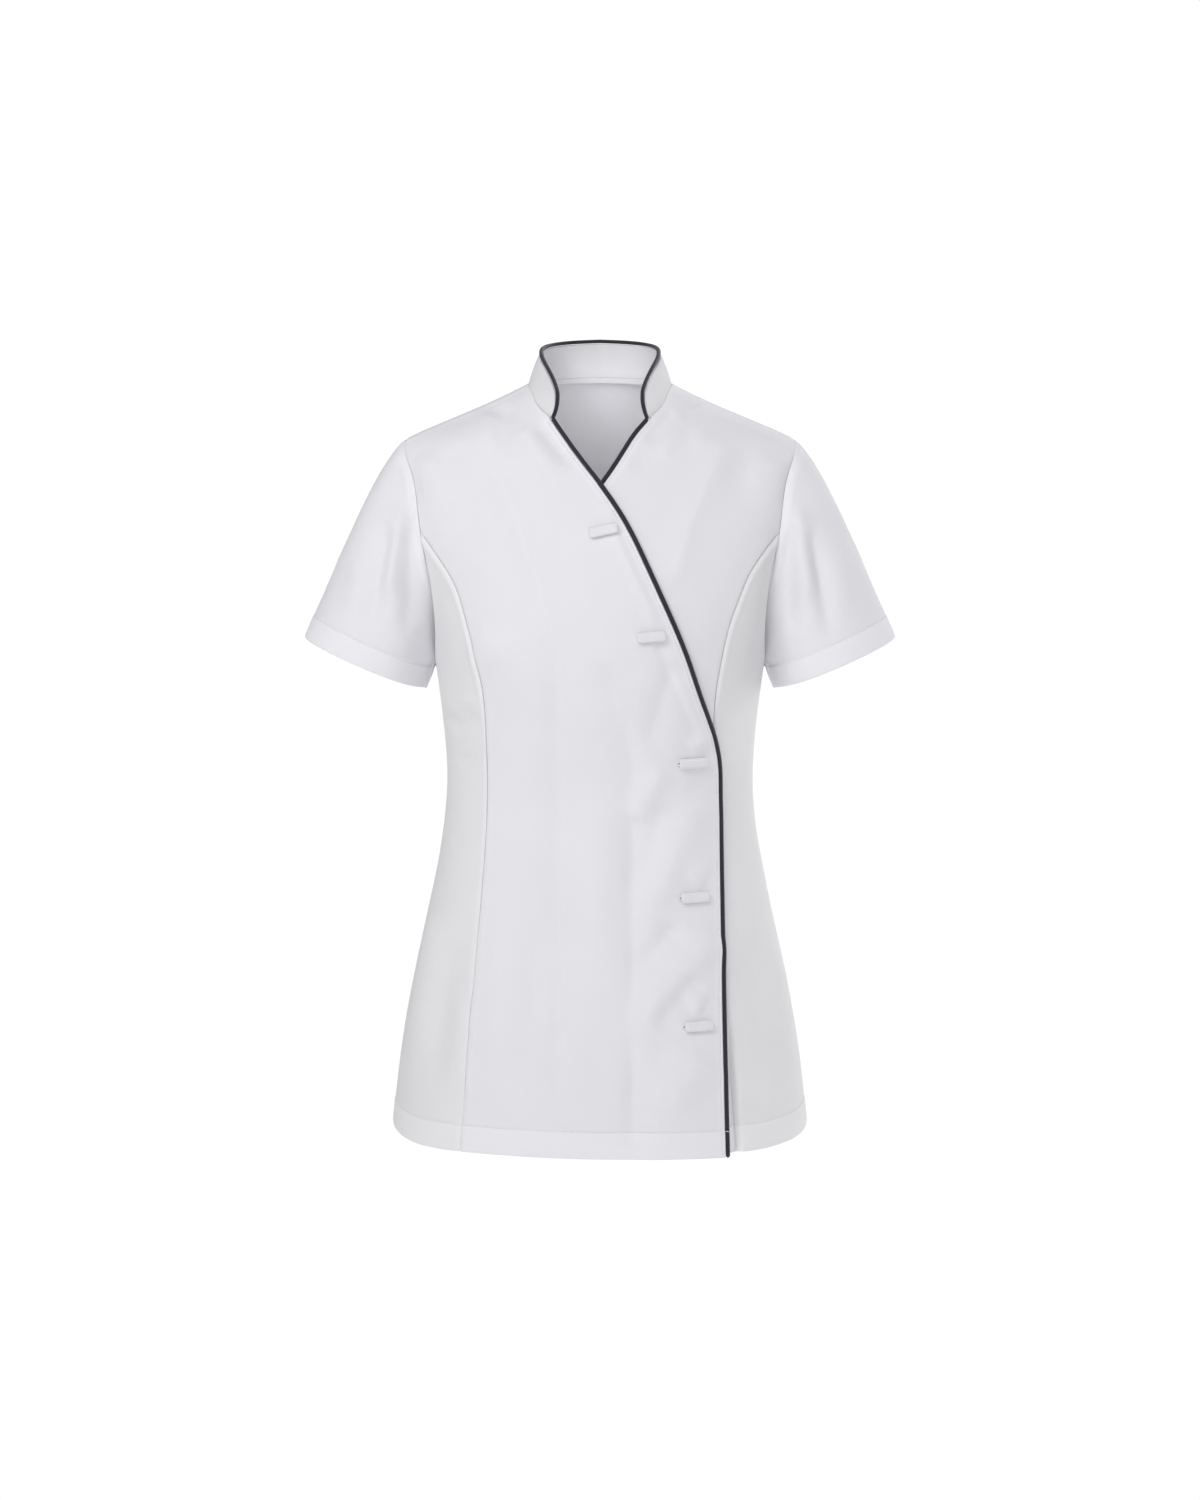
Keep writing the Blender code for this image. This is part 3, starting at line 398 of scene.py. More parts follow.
def height_at(x, y):
    lo, hi = np.full_like(x, SPLIT_Z), np.full_like(x, 0.0219)
    for _ in range(44):
        mid = (lo + hi) / 2
        inside = body_value(np.stack([x, y, mid], -1)) < 0
        lo, hi = np.where(inside, mid, lo), np.where(inside, hi, mid)
    return (lo + hi) / 2


def fan_point(x, alpha, facing):
    x, alpha = np.broadcast_arrays(np.asarray(x, float), np.asarray(alpha, float))
    aim = np.stack([np.zeros_like(x), facing * np.cos(alpha), np.sin(alpha)], -1)
    start = np.stack([x, np.zeros_like(x), np.full_like(x, SPLIT_Z)], -1)
    lo, hi = np.zeros_like(x), np.full_like(x, 0.25)
    for _ in range(44):
        mid = (lo + hi) / 2
        q = start + aim * mid[..., None]
        inside = (body_value(q) < 0) & (q[..., 2] < 0.0219)
        lo, hi = np.where(inside, mid, lo), np.where(inside, hi, mid)
    return start + aim * ((lo + hi) / 2)[..., None]


def fan_angle(p, facing):
    return np.arctan2(p[..., 2] - SPLIT_Z, facing * p[..., 1])


# ------------------------------------------------------------------ seam lines
def armhole(deg):
    a = np.radians(np.asarray(deg, float))
    z = (ARM_TOP + ARM_LOW) / 2 + (ARM_TOP - ARM_LOW) / 2 * np.cos(a)
    reach = np.where(np.sin(a) >= 0, ARM_FRONT, ARM_BACK)
    y = -reach * np.sin(a) * (1 - ARM_SKEW * np.cos(a))
    return np.stack([width_at(y, z), y, z], -1)


def neck(deg):
    """Neck seam, by the angle from the front centre, past the nape to the
    other side."""
    deg = np.asarray(deg, float)
    half = np.where(deg > 180, 360 - deg, deg)
    p = ring_point(np.radians(half), collar_rows(half)[..., 0])
    return p * np.stack([np.where(deg > 180, -1.0, 1.0)] + [np.ones_like(deg)] * 2, -1)


def shoulder_seam(t):
    t = np.asarray(t, float)
    a, n = armhole(np.array([SHOULDER_DEG]))[0], neck(np.array([NECK_CORNER]))[0]
    x, y = a[0] + (n[0] - a[0]) * t, a[1] + (n[1] - a[1]) * t
    return np.stack([x, y, height_at(x, y)], -1)


ARM_LINE = armhole(np.linspace(0, 360, 181))
NECK_LINE = neck(np.linspace(NECK_END, 180, 91))


def apart(p, line):
    """Distance of points from a line."""
    out = np.empty(len(p))
    for i in range(0, len(p), 4000):
        out[i:i + 4000] = np.sqrt(((p[i:i + 4000, None] - line) ** 2).sum(-1)).min(1)
    return out


# ------------------------------------------------------------------- creases
def smooth_path(points, step=4.0):
    p = np.array(points, float)
    s = np.concatenate([[0], np.cumsum(np.linalg.norm(np.diff(p, axis=0), axis=1))])
    if len(p) > 2:
        at = Spline([(a, *b) for a, b in zip(s, p)])
        t = np.linspace(0, s[-1], max(3, int(s[-1] / step) + 1))
        return at(t)
    return p


def crease(q, height, left, right, fade_in, fade_out, sharp, points):
    """Height of one crease at the points q (n, 2)."""
    path = smooth_path(points)
    reach = 3.2 * max(left, right)
    out = np.zeros(len(q))
    lo, hi = path.min(0) - reach, path.max(0) + reach
    near = np.where(((q > lo) & (q < hi)).all(1))[0]
    if not len(near):
        return out
    p = q[near]
    a, b = path[:-1], path[1:]
    ab = b - a
    long = (ab ** 2).sum(1)
    s0 = np.concatenate([[0], np.cumsum(np.sqrt(long))])
    best = np.full(len(p), 1e9)
    side, pos = np.zeros(len(p)), np.zeros(len(p))
    for k in range(len(a)):
        t = np.clip(((p - a[k]) @ ab[k]) / long[k], 0, 1)
        d = p - (a[k] + t[:, None] * ab[k])
        r = np.hypot(d[:, 0], d[:, 1])
        m = r < best
        best[m] = r[m]
        side[m] = (ab[k, 1] * d[m, 0] - ab[k, 0] * d[m, 1])
        pos[m] = s0[k] + t[m] * math.sqrt(long[k])
    w = np.where(side >= 0, right, left)
    g = best / w
    round_ = np.exp(-g * g)
    tent = np.exp(-(np.sqrt(g * g + 0.04) - 0.2) * 1.6)
    shape = (1 - sharp) * round_ + sharp * tent
    fade = smoothstep(pos / max(fade_in, 1e-6)) * smoothstep((s0[-1] - pos) / max(fade_out, 1e-6))
    out[near] = height * 1e-3 * shape * fade
    return out


def press(row):
    return np.interp(max(row[1], row[2]), PRESS_WIDTH, PRESS)


def ripple(u, v, seed, scale):
    """Gentle unevenness: a few long waves, the same each run."""
    rng = np.random.RandomState(seed)
    out = np.zeros_like(u)
    for _ in range(7):
        a, f, ph = rng.rand() * math.pi, (0.6 + 1.2 * rng.rand()) / scale, rng.rand() * 2 * math.pi
        out += np.sin(2 * math.pi * f * (u * math.cos(a) + v * math.sin(a)) + ph)
    return out / 7


def body_relief(p, n):
    """How far the cloth stands off the body form, at points p with outward
    directions n."""
    flat, nf = p.reshape(-1, 3), n.reshape(-1, 3)
    out = np.zeros(len(flat))
    q = seen(flat)
    weight = smoothstep((-nf[:, 1] - 0.05) / 0.35)
    front = np.where(weight > 0)[0]
    if len(front):
        total = np.zeros(len(front))
        for row in FRONT_CREASES:
            total += press(row) * crease(q[front], *row)
        out[front] += total * weight[front]
    weight = smoothstep((nf[:, 1] - 0.05) / 0.35)
    back = np.where(weight > 0)[0]
    if len(back):
        xz = flat[back][:, [0, 2]] * 1000
        total = np.zeros(len(back))
        for row in BACK_CREASES:
            total += press(row) * crease(xz, *row)
        out[back] += total * weight[back]
    sides = smoothstep((0.62 - np.abs(nf[:, 1])) / 0.4)
    turn = np.arctan2(flat[:, 0], -flat[:, 1]) * 0.13
    out += sides * 0.00035 * ripple(turn, flat[:, 2] * 0.55, 5, 0.060)
    out += 0.00012 * ripple(turn, flat[:, 2], 11, 0.045)
    # the seams of the neck and armholes hold still
    half = np.stack([np.abs(flat[:, 0]), flat[:, 1], flat[:, 2]], -1)
    out *= smoothstep(apart(half, ARM_LINE) / 0.012) * smoothstep(apart(half, NECK_LINE) / 0.010)
    return out.reshape(p.shape[:-1])


def lift(p):
    over = smoothstep((p[..., 0] - under_edge(p[..., 2])[..., 0] + LAP_RAMP + 0.004) / LAP_RAMP)
    low = smoothstep((-0.020 - p[..., 2]) / 0.03)
    return LAP * over * low


# ------------------------------------------------------------------- patches
GRID = np.linspace(0, 1, 61)


def path_lengths(p, axis):
    d = np.linalg.norm(np.diff(p, axis=axis), axis=-1)
    zero = np.zeros_like(np.take(d, [0], axis))
    return np.concatenate([zero, np.cumsum(d, axis)], axis)


def bend(points, at=None):
    """A border curve through closely spaced points."""
    pts = np.asarray(points, float)
    t = np.linspace(0, 1, len(pts)) if at is None else np.asarray(at, float)

    def curve(s):
        return np.stack([np.interp(s, t, pts[:, i]) for i in range(pts.shape[1])], -1)
    return curve


def read(tab, d):
    """Border parameter at a length d along a line with the lengths tab."""
    return np.interp(d, tab, GRID)


def even(tab, start, end, middle, sa=1.0, sb=1.0):
    """Stations at fixed distances from both ends and evenly between."""
    a = np.asarray(start) / sa
    b = tab[-1] - np.asarray(end)[::-1] / sb
    mid = np.linspace(a[-1], b[0], middle + 2)[1:-1]
    return read(tab, np.concatenate([a, mid, b]))


def patch(left, right, bottom, top, put, cols, rows):
    """Fine grid inside four border curves, spaced by real distances.  cols and
    rows give the stations of one row or column."""
    c00, c10 = left(np.zeros(1))[0], right(np.zeros(1))[0]
    c01, c11 = left(np.ones(1))[0], right(np.ones(1))[0]

    def at(u, v):
        u1, v1 = u[..., None], v[..., None]
        flat = (1 - u1) * (1 - v1) * c00 + u1 * (1 - v1) * c10 + (1 - u1) * v1 * c01 + u1 * v1 * c11
        return put((1 - u1) * left(v) + u1 * right(v) + (1 - v1) * bottom(u) + v1 * top(u) - flat)
    u, v = np.meshgrid(GRID, GRID)
    p = at(u, v)
    across, along = path_lengths(p, 1), path_lengths(p, 0)

    def sines(border, inner):
        a, b = unit(np.gradient(border, axis=0)), unit(inner - border)
        s = np.sqrt(np.maximum(1 - (a * b).sum(1) ** 2, 0.09))
        return np.convolve(np.pad(s, 2, mode="edge"), np.ones(5) / 5, "valid")
    sl, sr = sines(p[:, 0], p[:, 1]), sines(p[:, -1], p[:, -2])
    sb, st = sines(p[0], p[1]), sines(p[-1], p[-2])
    half = len(GRID) // 2
    u0 = cols(across[half], 1.0, 1.0, GRID[half])
    v0 = rows(along[:, half], 1.0, 1.0, GRID[half])
    # the lengths along each fine column and row
    tall = np.stack([np.interp(u0, GRID, along[i]) for i in range(len(GRID))])
    vv = np.stack([rows(tall[:, j], np.interp(u0[j], GRID, sb), np.interp(u0[j], GRID, st), u0[j])
                   for j in range(len(u0))], 1)
    wide = np.stack([np.interp(v0, GRID, across[:, j]) for j in range(len(GRID))], 1)
    uu = np.stack([cols(wide[i], np.interp(v0[i], GRID, sl), np.interp(v0[i], GRID, sr), v0[i])
                   for i in range(len(v0))])
    return at(uu, vv)


def grid_normals(p, outward):
    n = unit(np.cross(np.gradient(p, axis=1), np.gradient(p, axis=0)))
    return n * np.sign((n * outward).sum(-1).mean())


# stations near the borders, in distance from the seam line
SEAM_IN = ROLL + GAP
NEAR = np.array([0, 0.0008, 0.0019, 0.0034, 0.0054, 0.0078]) + SEAM_IN
FREE = np.array([PIPE_ROOM + ROLL, PIPE_ROOM + ROLL + 0.0006, 0.0041, 0.0046, EDGE_STITCH, 0.0056, 0.0061,
                 0.0071, 0.0088, 0.0110])
HEM = np.array([HEM_ROLL, 0.0017, 0.0030, 0.0050, 0.0075, 0.0100, 0.0125, 0.0150, 0.0175, 0.0198, 0.0216,
                0.0227, 0.0234, HEM_DEEP, 0.0246, 0.0253, 0.0264, 0.0282, 0.0302])
CUFF = np.array([HEM_ROLL, 0.0017, 0.0030, 0.0050, 0.0072, 0.0095, 0.0118, 0.0141, 0.0164, 0.0184, 0.0200,
                 0.0209, CUFF_STITCH, 0.0221, 0.0229, 0.0241, 0.0258])
HEM_ROW, CUFF_ROW = list(HEM).index(HEM_DEEP), list(CUFF).index(CUFF_STITCH)
FREE_COL = -1 - list(FREE).index(EDGE_STITCH)


def front_surface(side, edge, hem, mid_cols, mid_low, mid_v, mid_neck):
    """A front on the body form: princess seam and armhole at its first column,
    the free edge and neck seam at its last."""
    arm_split = armhole(np.array([SPLIT_DEG]))[0] * [side, 1, 1]
    zl = float(hem(side * 0.1256)[0])
    ze = float(hem(float(edge(np.array(-0.6720))[0]))[0])
    t = np.linspace(0, 1, 400)
    sz, ez = zl + (SPLIT_Z - zl) * t, ze + (SPLIT_Z - ze) * t
    a = ring_angle(side * princess[side](sz)[:, 0], sz)
    a = a + (ring_angle(arm_split[0], arm_split[2]) - a[-1]) * t ** 12
    outer = np.stack([a, sz], -1)
    inner = np.stack([ring_angle(edge(ez)[:, 0], ez), ez], -1)
    u = t[:, None]
    bottom = outer[0] * (1 - u) + inner[0] * u
    z = hem(ring_point(bottom[:, 0], bottom[:, 1])[:, 0])[:, 0]
    bottom[:, 1] = z + (outer[0, 1] - z[0]) * (1 - t) + (inner[0, 1] - z[-1]) * t
    top = outer[-1] * (1 - u) + inner[-1] * u
    low = patch(bend(outer), bend(inner), bend(bottom), bend(top),
                lambda q: ring_point(q[..., 0], q[..., 1]),
                lambda tab, a, b, v: even(tab, NEAR, FREE, mid_cols, a, b),
                lambda tab, a, b, u: even(tab, HEM, [0.0], mid_low, a, b))
    # above the split
    share = 2.0 / 3.0
    arm = armhole(SPLIT_DEG + (SHOULDER_DEG - SPLIT_DEG) * t) * [side, 1, 1]
    s = np.minimum(t / share, 1)
    vz = SPLIT_Z + (LAP_EDGE[0][0] - SPLIT_Z) * s
    v = ring_point(ring_angle(edge(vz)[:, 0], vz), vz)
    n = neck(NECK_END + (NECK_CORNER - NECK_END) * np.clip((t - share) / (1 - share), 0, 1)) * [side, 1, 1]
    v = v + (n[0] - v[-1]) * smoothstep((s - 0.9) / 0.1)[:, None]
    inner = np.where((t <= share)[:, None], v, n)
    line = ring_point(top[:, 0], top[:, 1])
    seam = shoulder_seam(t) * [side, 1, 1]
    borders = [bend(np.stack([b[:, 0], fan_angle(b, -1)], -1)) for b in (arm, inner, line, seam)]

    def rows_high(tab, a, b, u):
        last = read(tab, tab[-1] - NEAR[::-1] / b)
        return np.concatenate([np.linspace(0, share, mid_v + 1),
                               np.linspace(share, last[0], mid_neck + 2)[1:-1], last])

    def cols_high(tab, a, b, v):
        free = FREE - (FREE[0] - SEAM_IN) * (v > share + 1e-6)
        return even(tab, NEAR, free, mid_cols, a, b)
    high = patch(*borders, lambda q: fan_point(q[..., 0], q[..., 1], -1), cols_high, rows_high)
    return np.concatenate([low, high[1:]]), len(low) - 1 + mid_v


def side_surface(side, hem, mid_cols, mid_rows):
    """A side front: side seam at its first column, princess seam at its last,
    the low armhole at its top."""
    t = np.linspace(0, 1, 400)
    zl, zb = float(hem(side * 0.1256)[0]), float(hem(side * 0.1940)[0])
    arm_split = armhole(np.array([SPLIT_DEG]))[0]
    sz = zl + (SPLIT_Z - zl) * t
    left = np.stack([np.full_like(t, math.pi / 2), zb + (ARM_LOW - zb) * t], -1)
    a = ring_angle(princess[side](sz)[:, 0], sz)
    a = a + (ring_angle(arm_split[0], arm_split[2]) - a[-1]) * t ** 12
    right = np.stack([a, sz], -1)
    arm = armhole(180 + (SPLIT_DEG - 180) * t)
    top = np.stack([ring_angle(arm[:, 0], arm[:, 2]), arm[:, 2]], -1)
    left[-1], right[-1] = top[0], top[-1]
    u = t[:, None]
    bottom = left[0] * (1 - u) + right[0] * u
    z = hem(side * ring_point(bottom[:, 0], bottom[:, 1])[:, 0])[:, 0]
    bottom[:, 1] = z + (left[0, 1] - z[0]) * (1 - t) + (right[0, 1] - z[-1]) * t
    grid = patch(bend(left), bend(right), bend(bottom), bend(top),
                 lambda q: ring_point(q[..., 0], q[..., 1]),
                 lambda tab, a, b, v: even(tab, NEAR, NEAR, mid_cols, a, b),
                 lambda tab, a, b, u: even(tab, HEM, NEAR, mid_rows, a, b))
    return grid * [side, 1, 1]


def back_surface(mid_cols, mid_low, mid_arm, mid_fan):
    """The back, from the wearer's right (first column) to the left."""
    t = np.linspace(0, 1, 400)
    deg = 180 + (180 - SPLIT_DEG) * np.linspace(0, 1, 160)
    arm = armhole(deg)
    a, f, bk, pf, pb, k = section(arm[:, 2])
    reach = np.concatenate([np.full(240, math.pi / 2), np.arcsin(np.minimum(arm[:, 0] / a, 1.0) ** (pb / 2))[1:]])
    z = np.concatenate([np.linspace(HEM_BACK, ARM_LOW, 240), arm[1:, 2]])
    s = path_lengths(ring_point(math.pi - reach, z)[None], 1)[0]
    s /= s[-1]
    corner = s[239]
    left, right = bend(np.stack([math.pi + reach, z], -1), s), bend(np.stack([math.pi - reach, z], -1), s)
    bottom = bend(np.stack([math.pi + reach[0] * (1 - 2 * t), np.full_like(t, z[0])], -1))
    top = bend(np.stack([math.pi + reach[-1] * (1 - 2 * t), np.full_like(t, z[-1])], -1))

    def rows_low(tab, a, b, u):
        first = read(tab, HEM / a)
        return np.concatenate([first, np.linspace(first[-1], corner, mid_low + 1)[1:],
                               np.linspace(corner, 1, mid_arm + 1)[1:]])
    low = patch(left, right, bottom, top, lambda q: ring_point(q[..., 0], q[..., 1]),
                lambda tab, a, b, v: even(tab, NEAR, NEAR, mid_cols, a, b), rows_low)
    line = ring_point(math.pi + reach[-1] * (1 - 2 * t), np.full_like(t, z[-1]))
    arm = armhole((360 - SPLIT_DEG) + (SPLIT_DEG + SHOULDER_DEG) * t)
    sh1, sh2 = shoulder_seam(np.clip(t / 0.25, 0, 1)), shoulder_seam(np.clip((1 - t) / 0.25, 0, 1))
    nape = neck((360 - NECK_CORNER) + (2 * NECK_CORNER - 360) * np.clip((t - 0.25) / 0.5, 0, 1))
    seam = np.where((t < 0.25)[:, None], sh1 * [-1, 1, 1], np.where((t > 0.75)[:, None], sh2, nape))
    seam[0], seam[-1] = arm[-1] * [-1, 1, 1], arm[-1]
    borders = [bend(np.stack([b[:, 0], fan_angle(b, 1)], -1)) for b in (arm * [-1, 1, 1], arm, line, seam)]
    quarter = mid_cols // 4 + 3

    def cols_high(tab, a, b, v):
        by_length = even(tab, NEAR, NEAR, mid_cols, a, b)
        ends = read(tab, NEAR / a), read(tab, tab[-1] - NEAR[::-1] / b)
        n = len(by_length)
        by_share = np.concatenate([ends[0], np.linspace(ends[0][-1], 0.25, quarter - 4)[1:],
                                   np.linspace(0.25, 0.75, n - 2 * quarter)[1:-1],
                                   np.linspace(0.75, ends[1][0], quarter - 4)[:-1], ends[1]])
        w = smoothstep(v)
        return by_length * (1 - w) + by_share * w
    high = patch(*borders, lambda q: fan_point(q[..., 0], q[..., 1], 1), cols_high,
                 lambda tab, a, b, u: even(tab, [0.0], NEAR, mid_fan, a, b))
    return np.concatenate([low, high[1:]])


round_rows = Spline([(r[0] - 360, *r[1:]) for r in SLEEVE[4:-1]] + list(SLEEVE)
                    + [(r[0] + 360, *r[1:]) for r in SLEEVE[1:5]])


def sleeve_point(deg, t):
    row = round_rows(np.mod(deg, 360))
    start = armhole(deg)
    aim = unit(np.stack([row[..., 0], -row[..., 1], -row[..., 2]], -1))
    a = np.radians(deg)[..., None]
    end = np.array(CUFF_MID) + np.array(CUFF_OUT) * np.cos(a) + np.array([0, -CUFF_DEEP, 0]) * np.sin(a)
    c1 = start + aim * row[..., 3:4]
    c2 = end - np.array(SLEEVE_AIM) * row[..., 4:5]
    t = t[..., None]
    return (1 - t) ** 3 * start + 3 * t * (1 - t) ** 2 * c1 + 3 * t * t * (1 - t) * c2 + t ** 3 * end


def sleeve_surface(mid_cols, mid_rows):
    """The left sleeve: columns from the underarm seam over the front and the
    back to it again, rows from the cuff up to the armhole."""
    # even round the sleeve at half its length
    fine = np.linspace(180, -180, 721)
    ring = sleeve_point(fine, np.full_like(fine, 0.5))
    s = path_lengths(ring[None], 1)[0]
    deg_at = np.interp(GRID, s / s[-1], fine)
    u, v = np.meshgrid(deg_at, 1 - GRID)
    p = sleeve_point(u, v)
    across, along = path_lengths(p, 1), path_lengths(p, 0)
    half = len(GRID) // 2
    u0 = even(across[half], NEAR, NEAR, mid_cols)
    tall = np.stack([np.interp(u0, GRID, along[i]) for i in range(len(GRID))])
    vv = np.stack([even(tall[:, j], CUFF, NEAR, mid_rows) for j in range(len(u0))], 1)
    v0 = vv.mean(1)
    wide = np.stack([np.interp(v0, GRID, across[:, j]) for j in range(len(GRID))], 1)
    uu = np.stack([even(w, NEAR, NEAR, mid_cols) for w in wide])
    deg = np.interp(uu, GRID, deg_at)
    return sleeve_point(deg, 1 - vv), deg, 1 - vv


def collar_surface(mid_cols, mid_rows):
    """Columns from the wearer's left end round the nape to the right end, rows
    from the seam up."""
    def edge(deg):
        half = np.where(deg > 180, 360 - deg, deg)
        e = collar_rows(half)[..., 1:4].copy()
        e[..., 0] *= np.where(deg > 180, -1, 1)
        return e
    ang = NECK_END + (360 - 2 * NECK_END) * np.linspace(0, 1, 601)
    long = path_lengths(edge(ang)[None], 1)[0]
    near = np.array([0.0014, 0.0020, 0.0028, 0.0038, 0.0052])
    where = np.concatenate([near, np.linspace(near[-1], long[-1] - near[-1], mid_cols + 2)[1:-1],
                            long[-1] - near[::-1]])
    deg = np.interp(where, long, ang)
    base, top = neck(deg), edge(deg)
    tall = np.linalg.norm(top - base, axis=1)
    # thinner towards its two ends
    away = np.minimum(where, long[-1] - where)
    half = COLLAR_THICK / 2 * (0.5 + 0.5 * smoothstep(away / 0.016))
    low, high = half + GAP, PIPE_ROOM + half - 0.0003
    fit = np.minimum(1, tall * 0.86 / (low + high))
    v = np.stack([np.concatenate([[l, l + 0.12 * (h - t - l)], np.linspace(l + 0.25 * (h - t - l), l + 0.88 * (h - t - l), mid_rows),
                                  [h - t]]) / h
                  for h, l, t in zip(tall, low * fit, high * fit)], 1)[..., None]
    out = unit(base * [1, 1, 0])
    swell = np.minimum(tall[:, None] / 0.03, 1)
    p = base * (1 - v) + top * v + out * swell * 4 * v * (1 - v) * COLLAR_BULGE
    fine = edge(ang)
    return p, fine, half


# ------------------------------------------------------------------ mesh making
THETA = np.radians([36, 72, 108, 144, 180])
WAY = {"bottom": (0, -1), "right": (1, 0), "top": (0, 1), "left": (-1, 0)}


def inward(grid, side):
    """Arrays of points in from a side, in the order of the rim's loop."""
    if side == "bottom":
        return grid.swapaxes(0, 1)
    if side == "right":
        return grid[:, ::-1]
    if side == "top":
        return grid[::-1, ::-1].swapaxes(0, 1)
    return grid[::-1]


class Sheet:
    """A grid of points with a rounded rim all round it, and strips of cloth
    turned back under its borders."""

    def __init__(self, p, n, rolls, painted_light_layers=None):
        """rolls gives the radius of the rim on each side; the last argument gives how much lighter
        cloth colour is painted at each point (painted light), for cloth in two layers and the lit seam rolls."""
        rows, cols = p.shape[:2]
        count = {"bottom": cols, "right": rows, "top": cols, "left": rows}
        self.p, self.n = p, n
        self.rolls = {k: np.broadcast_to(np.asarray(r, float), (count[k],)) for k, r in rolls.items()}
        self.painted_light_layers = [np.zeros(rows * cols) if painted_light_layers is None else painted_light_layers.reshape(-1)]
        self.index = np.arange(rows * cols).reshape(rows, cols)
        u, v = path_lengths(p, 1), path_lengths(p, 0)
        self.uv_grid = np.stack([u - u[:, cols // 2:cols // 2 + 1], v], -1)
        self.verts, self.uvs = [p.reshape(-1, 3)], [self.uv_grid.reshape(-1, 2)]
        self.count = rows * cols
        i = self.index
        self.quads = [np.stack([i[:-1, :-1], i[:-1, 1:], i[1:, 1:], i[1:, :-1]], -1).reshape(-1, 4)]
        self.tris = []
        self.rim()

    def add(self, p, uv):
        ids = np.arange(self.count, self.count + len(p))
        self.verts.append(p)
        self.uvs.append(uv)
        # painted light: points added for the rim and the turned strips are painted 0.8 of the lighter colour
        self.painted_light_layers.append(np.ones(len(p)) * 0.8)
        self.count += len(p)
        return ids

    def rim(self, fans=3):
        at, pos, nor, out, rad, uv, way = [], [], [], [], [], [], []
        ends = {}
        order = ("bottom", "right", "top", "left")
        for side in order:
            p, n = inward(self.p, side), inward(self.n, side)
            edge = p[:, 0]
            along = unit(np.gradient(edge, axis=0))
            o = edge - p[:, 1]
            o = unit(o - along * (o * along).sum(1, keepdims=True))
            m = unit(n[:, 0] - o * (n[:, 0] * o).sum(1, keepdims=True))
            ends[side] = (inward(self.index, side)[:, 0], edge, m, o, inward(self.uv_grid, side)[:, 0])
        self.start = {}
        for k, side in enumerate(order):
            ids, edge, m, o, t = ends[side]
            nxt = order[(k + 1) % 4]
            self.start[side] = sum(len(x) for x in at)
            at.append(ids); pos.append(edge); nor.append(m); out.append(o); uv.append(t)
            rad.append(self.rolls[side])
            way.append(np.tile(WAY[side], (len(ids), 1)))
            f = np.radians(90 * np.arange(1, fans + 1) / (fans + 1))[:, None]
            o2 = ends[nxt][3][0]
            at.append(np.full(fans, ids[-1])); pos.append(np.tile(edge[-1], (fans, 1)))
            turned = unit(np.cos(f) * o[-1] + np.sin(f) * o2)
            nor.append(np.tile(unit(m[-1] + ends[nxt][2][0]), (fans, 1))); out.append(turned)
            uv.append(np.tile(t[-1], (fans, 1)))
            rad.append((np.cos(f) ** 2 * self.rolls[side][-1] + np.sin(f) ** 2 * self.rolls[nxt][0])[:, 0])
            way.append(np.cos(f) * np.array(WAY[side]) + np.sin(f) * np.array(WAY[nxt]))
        at = np.concatenate(at)
        pos, nor, out, rad, uv, way = (np.concatenate(x) for x in (pos, nor, out, rad, uv, way))
        rad = rad[:, None]
        prev, here = at, None
        rings = []
        for th in THETA:
            q = pos + out * rad * math.sin(th) - nor * rad * (1 - math.cos(th))
            rings.append(self.add(q, uv + way * rad * th))
        a, b = at, np.roll(at, -1)
        a1, b1 = rings[0], np.roll(rings[0], -1)
        same = a == b
        self.quads.append(np.stack([b, a, a1, b1], -1)[~same])
        self.tris.append(np.stack([a, a1, b1], -1)[same])
        for r, s in zip(rings[:-1], rings[1:]):
            self.quads.append(np.stack([np.roll(r, -1), r, s, np.roll(s, -1)], -1))
        self.last, self.last_uv, self.last_way = rings[-1], uv + way * rad * math.pi, way
        self.pos = pos - nor * rad * 2

    def under(self, side, reach, first=0, last=None, closing=False):
        """Cloth turned back under a side, as far as the reach."""
        p, n = inward(self.p, side), inward(self.n, side)
        start, roll = self.start[side], self.rolls[side][0]
        ids = self.last[start:start + len(p)][first:last]
        uv = self.last_uv[start:start + len(p)][first:last]
        p, n = p[first:last], n[first:last]
        d = np.median(path_lengths(p, 1), 0)
        take = int(np.searchsorted(d, reach + 1e-9))
        prev, before = ids, None
        travel = 0.0
        for k in range(1, take):
            depth = 2 * roll
            if closing and k >= take - 2:
                depth = max(2 * THICK + 0.00006, 2 * roll * (0.80 if k == take - 2 else 0.62))
            q = p[:, k] - n[:, k] * depth
            travel += d[k] - d[k - 1]
            new = self.add(q, uv + np.array(WAY[side]) * travel)
            self.quads.append(np.stack([prev[1:], prev[:-1], new[:-1], new[1:]], -1))
            prev = new

    def close(self):
        """Gives the sheet an inner face as deep as its rim, all in one."""
        ends = np.zeros(self.index.shape, int) - 1
        inner = self.p - self.n * (2 * self.rolls["bottom"])[None, :, None]
        ids = self.add(inner[1:-1, 1:-1].reshape(-1, 3), (self.uv_grid[1:-1, 1:-1] + [0, 0.2]).reshape(-1, 2))
        ends[1:-1, 1:-1] = ids.reshape(ends[1:-1, 1:-1].shape)
        for side in WAY:
            start = self.start[side]
            view = inward(ends, side)
            ring = self.last[start:start + view.shape[0]]
            keep = view[:, 0] < 0
            view[keep, 0] = ring[keep]
        i = ends
        self.quads.append(np.stack([i[:-1, :-1], i[1:, :-1], i[1:, 1:], i[:-1, 1:]], -1).reshape(-1, 4))
        # the fans at the corners
        for side in WAY:
            view = inward(ends, side)
            corner = view[-1, 0]
            start = self.start[side] + view.shape[0]
            loop = [self.last[start - 1]] + list(self.last[start:start + 3])
            after = (start + 3) % len(self.last)
            loop.append(self.last[after])
            for a, b in zip(loop[:-1], loop[1:]):
                if corner not in (a, b):
                    self.tris.append(np.array([[corner, a, b]]))

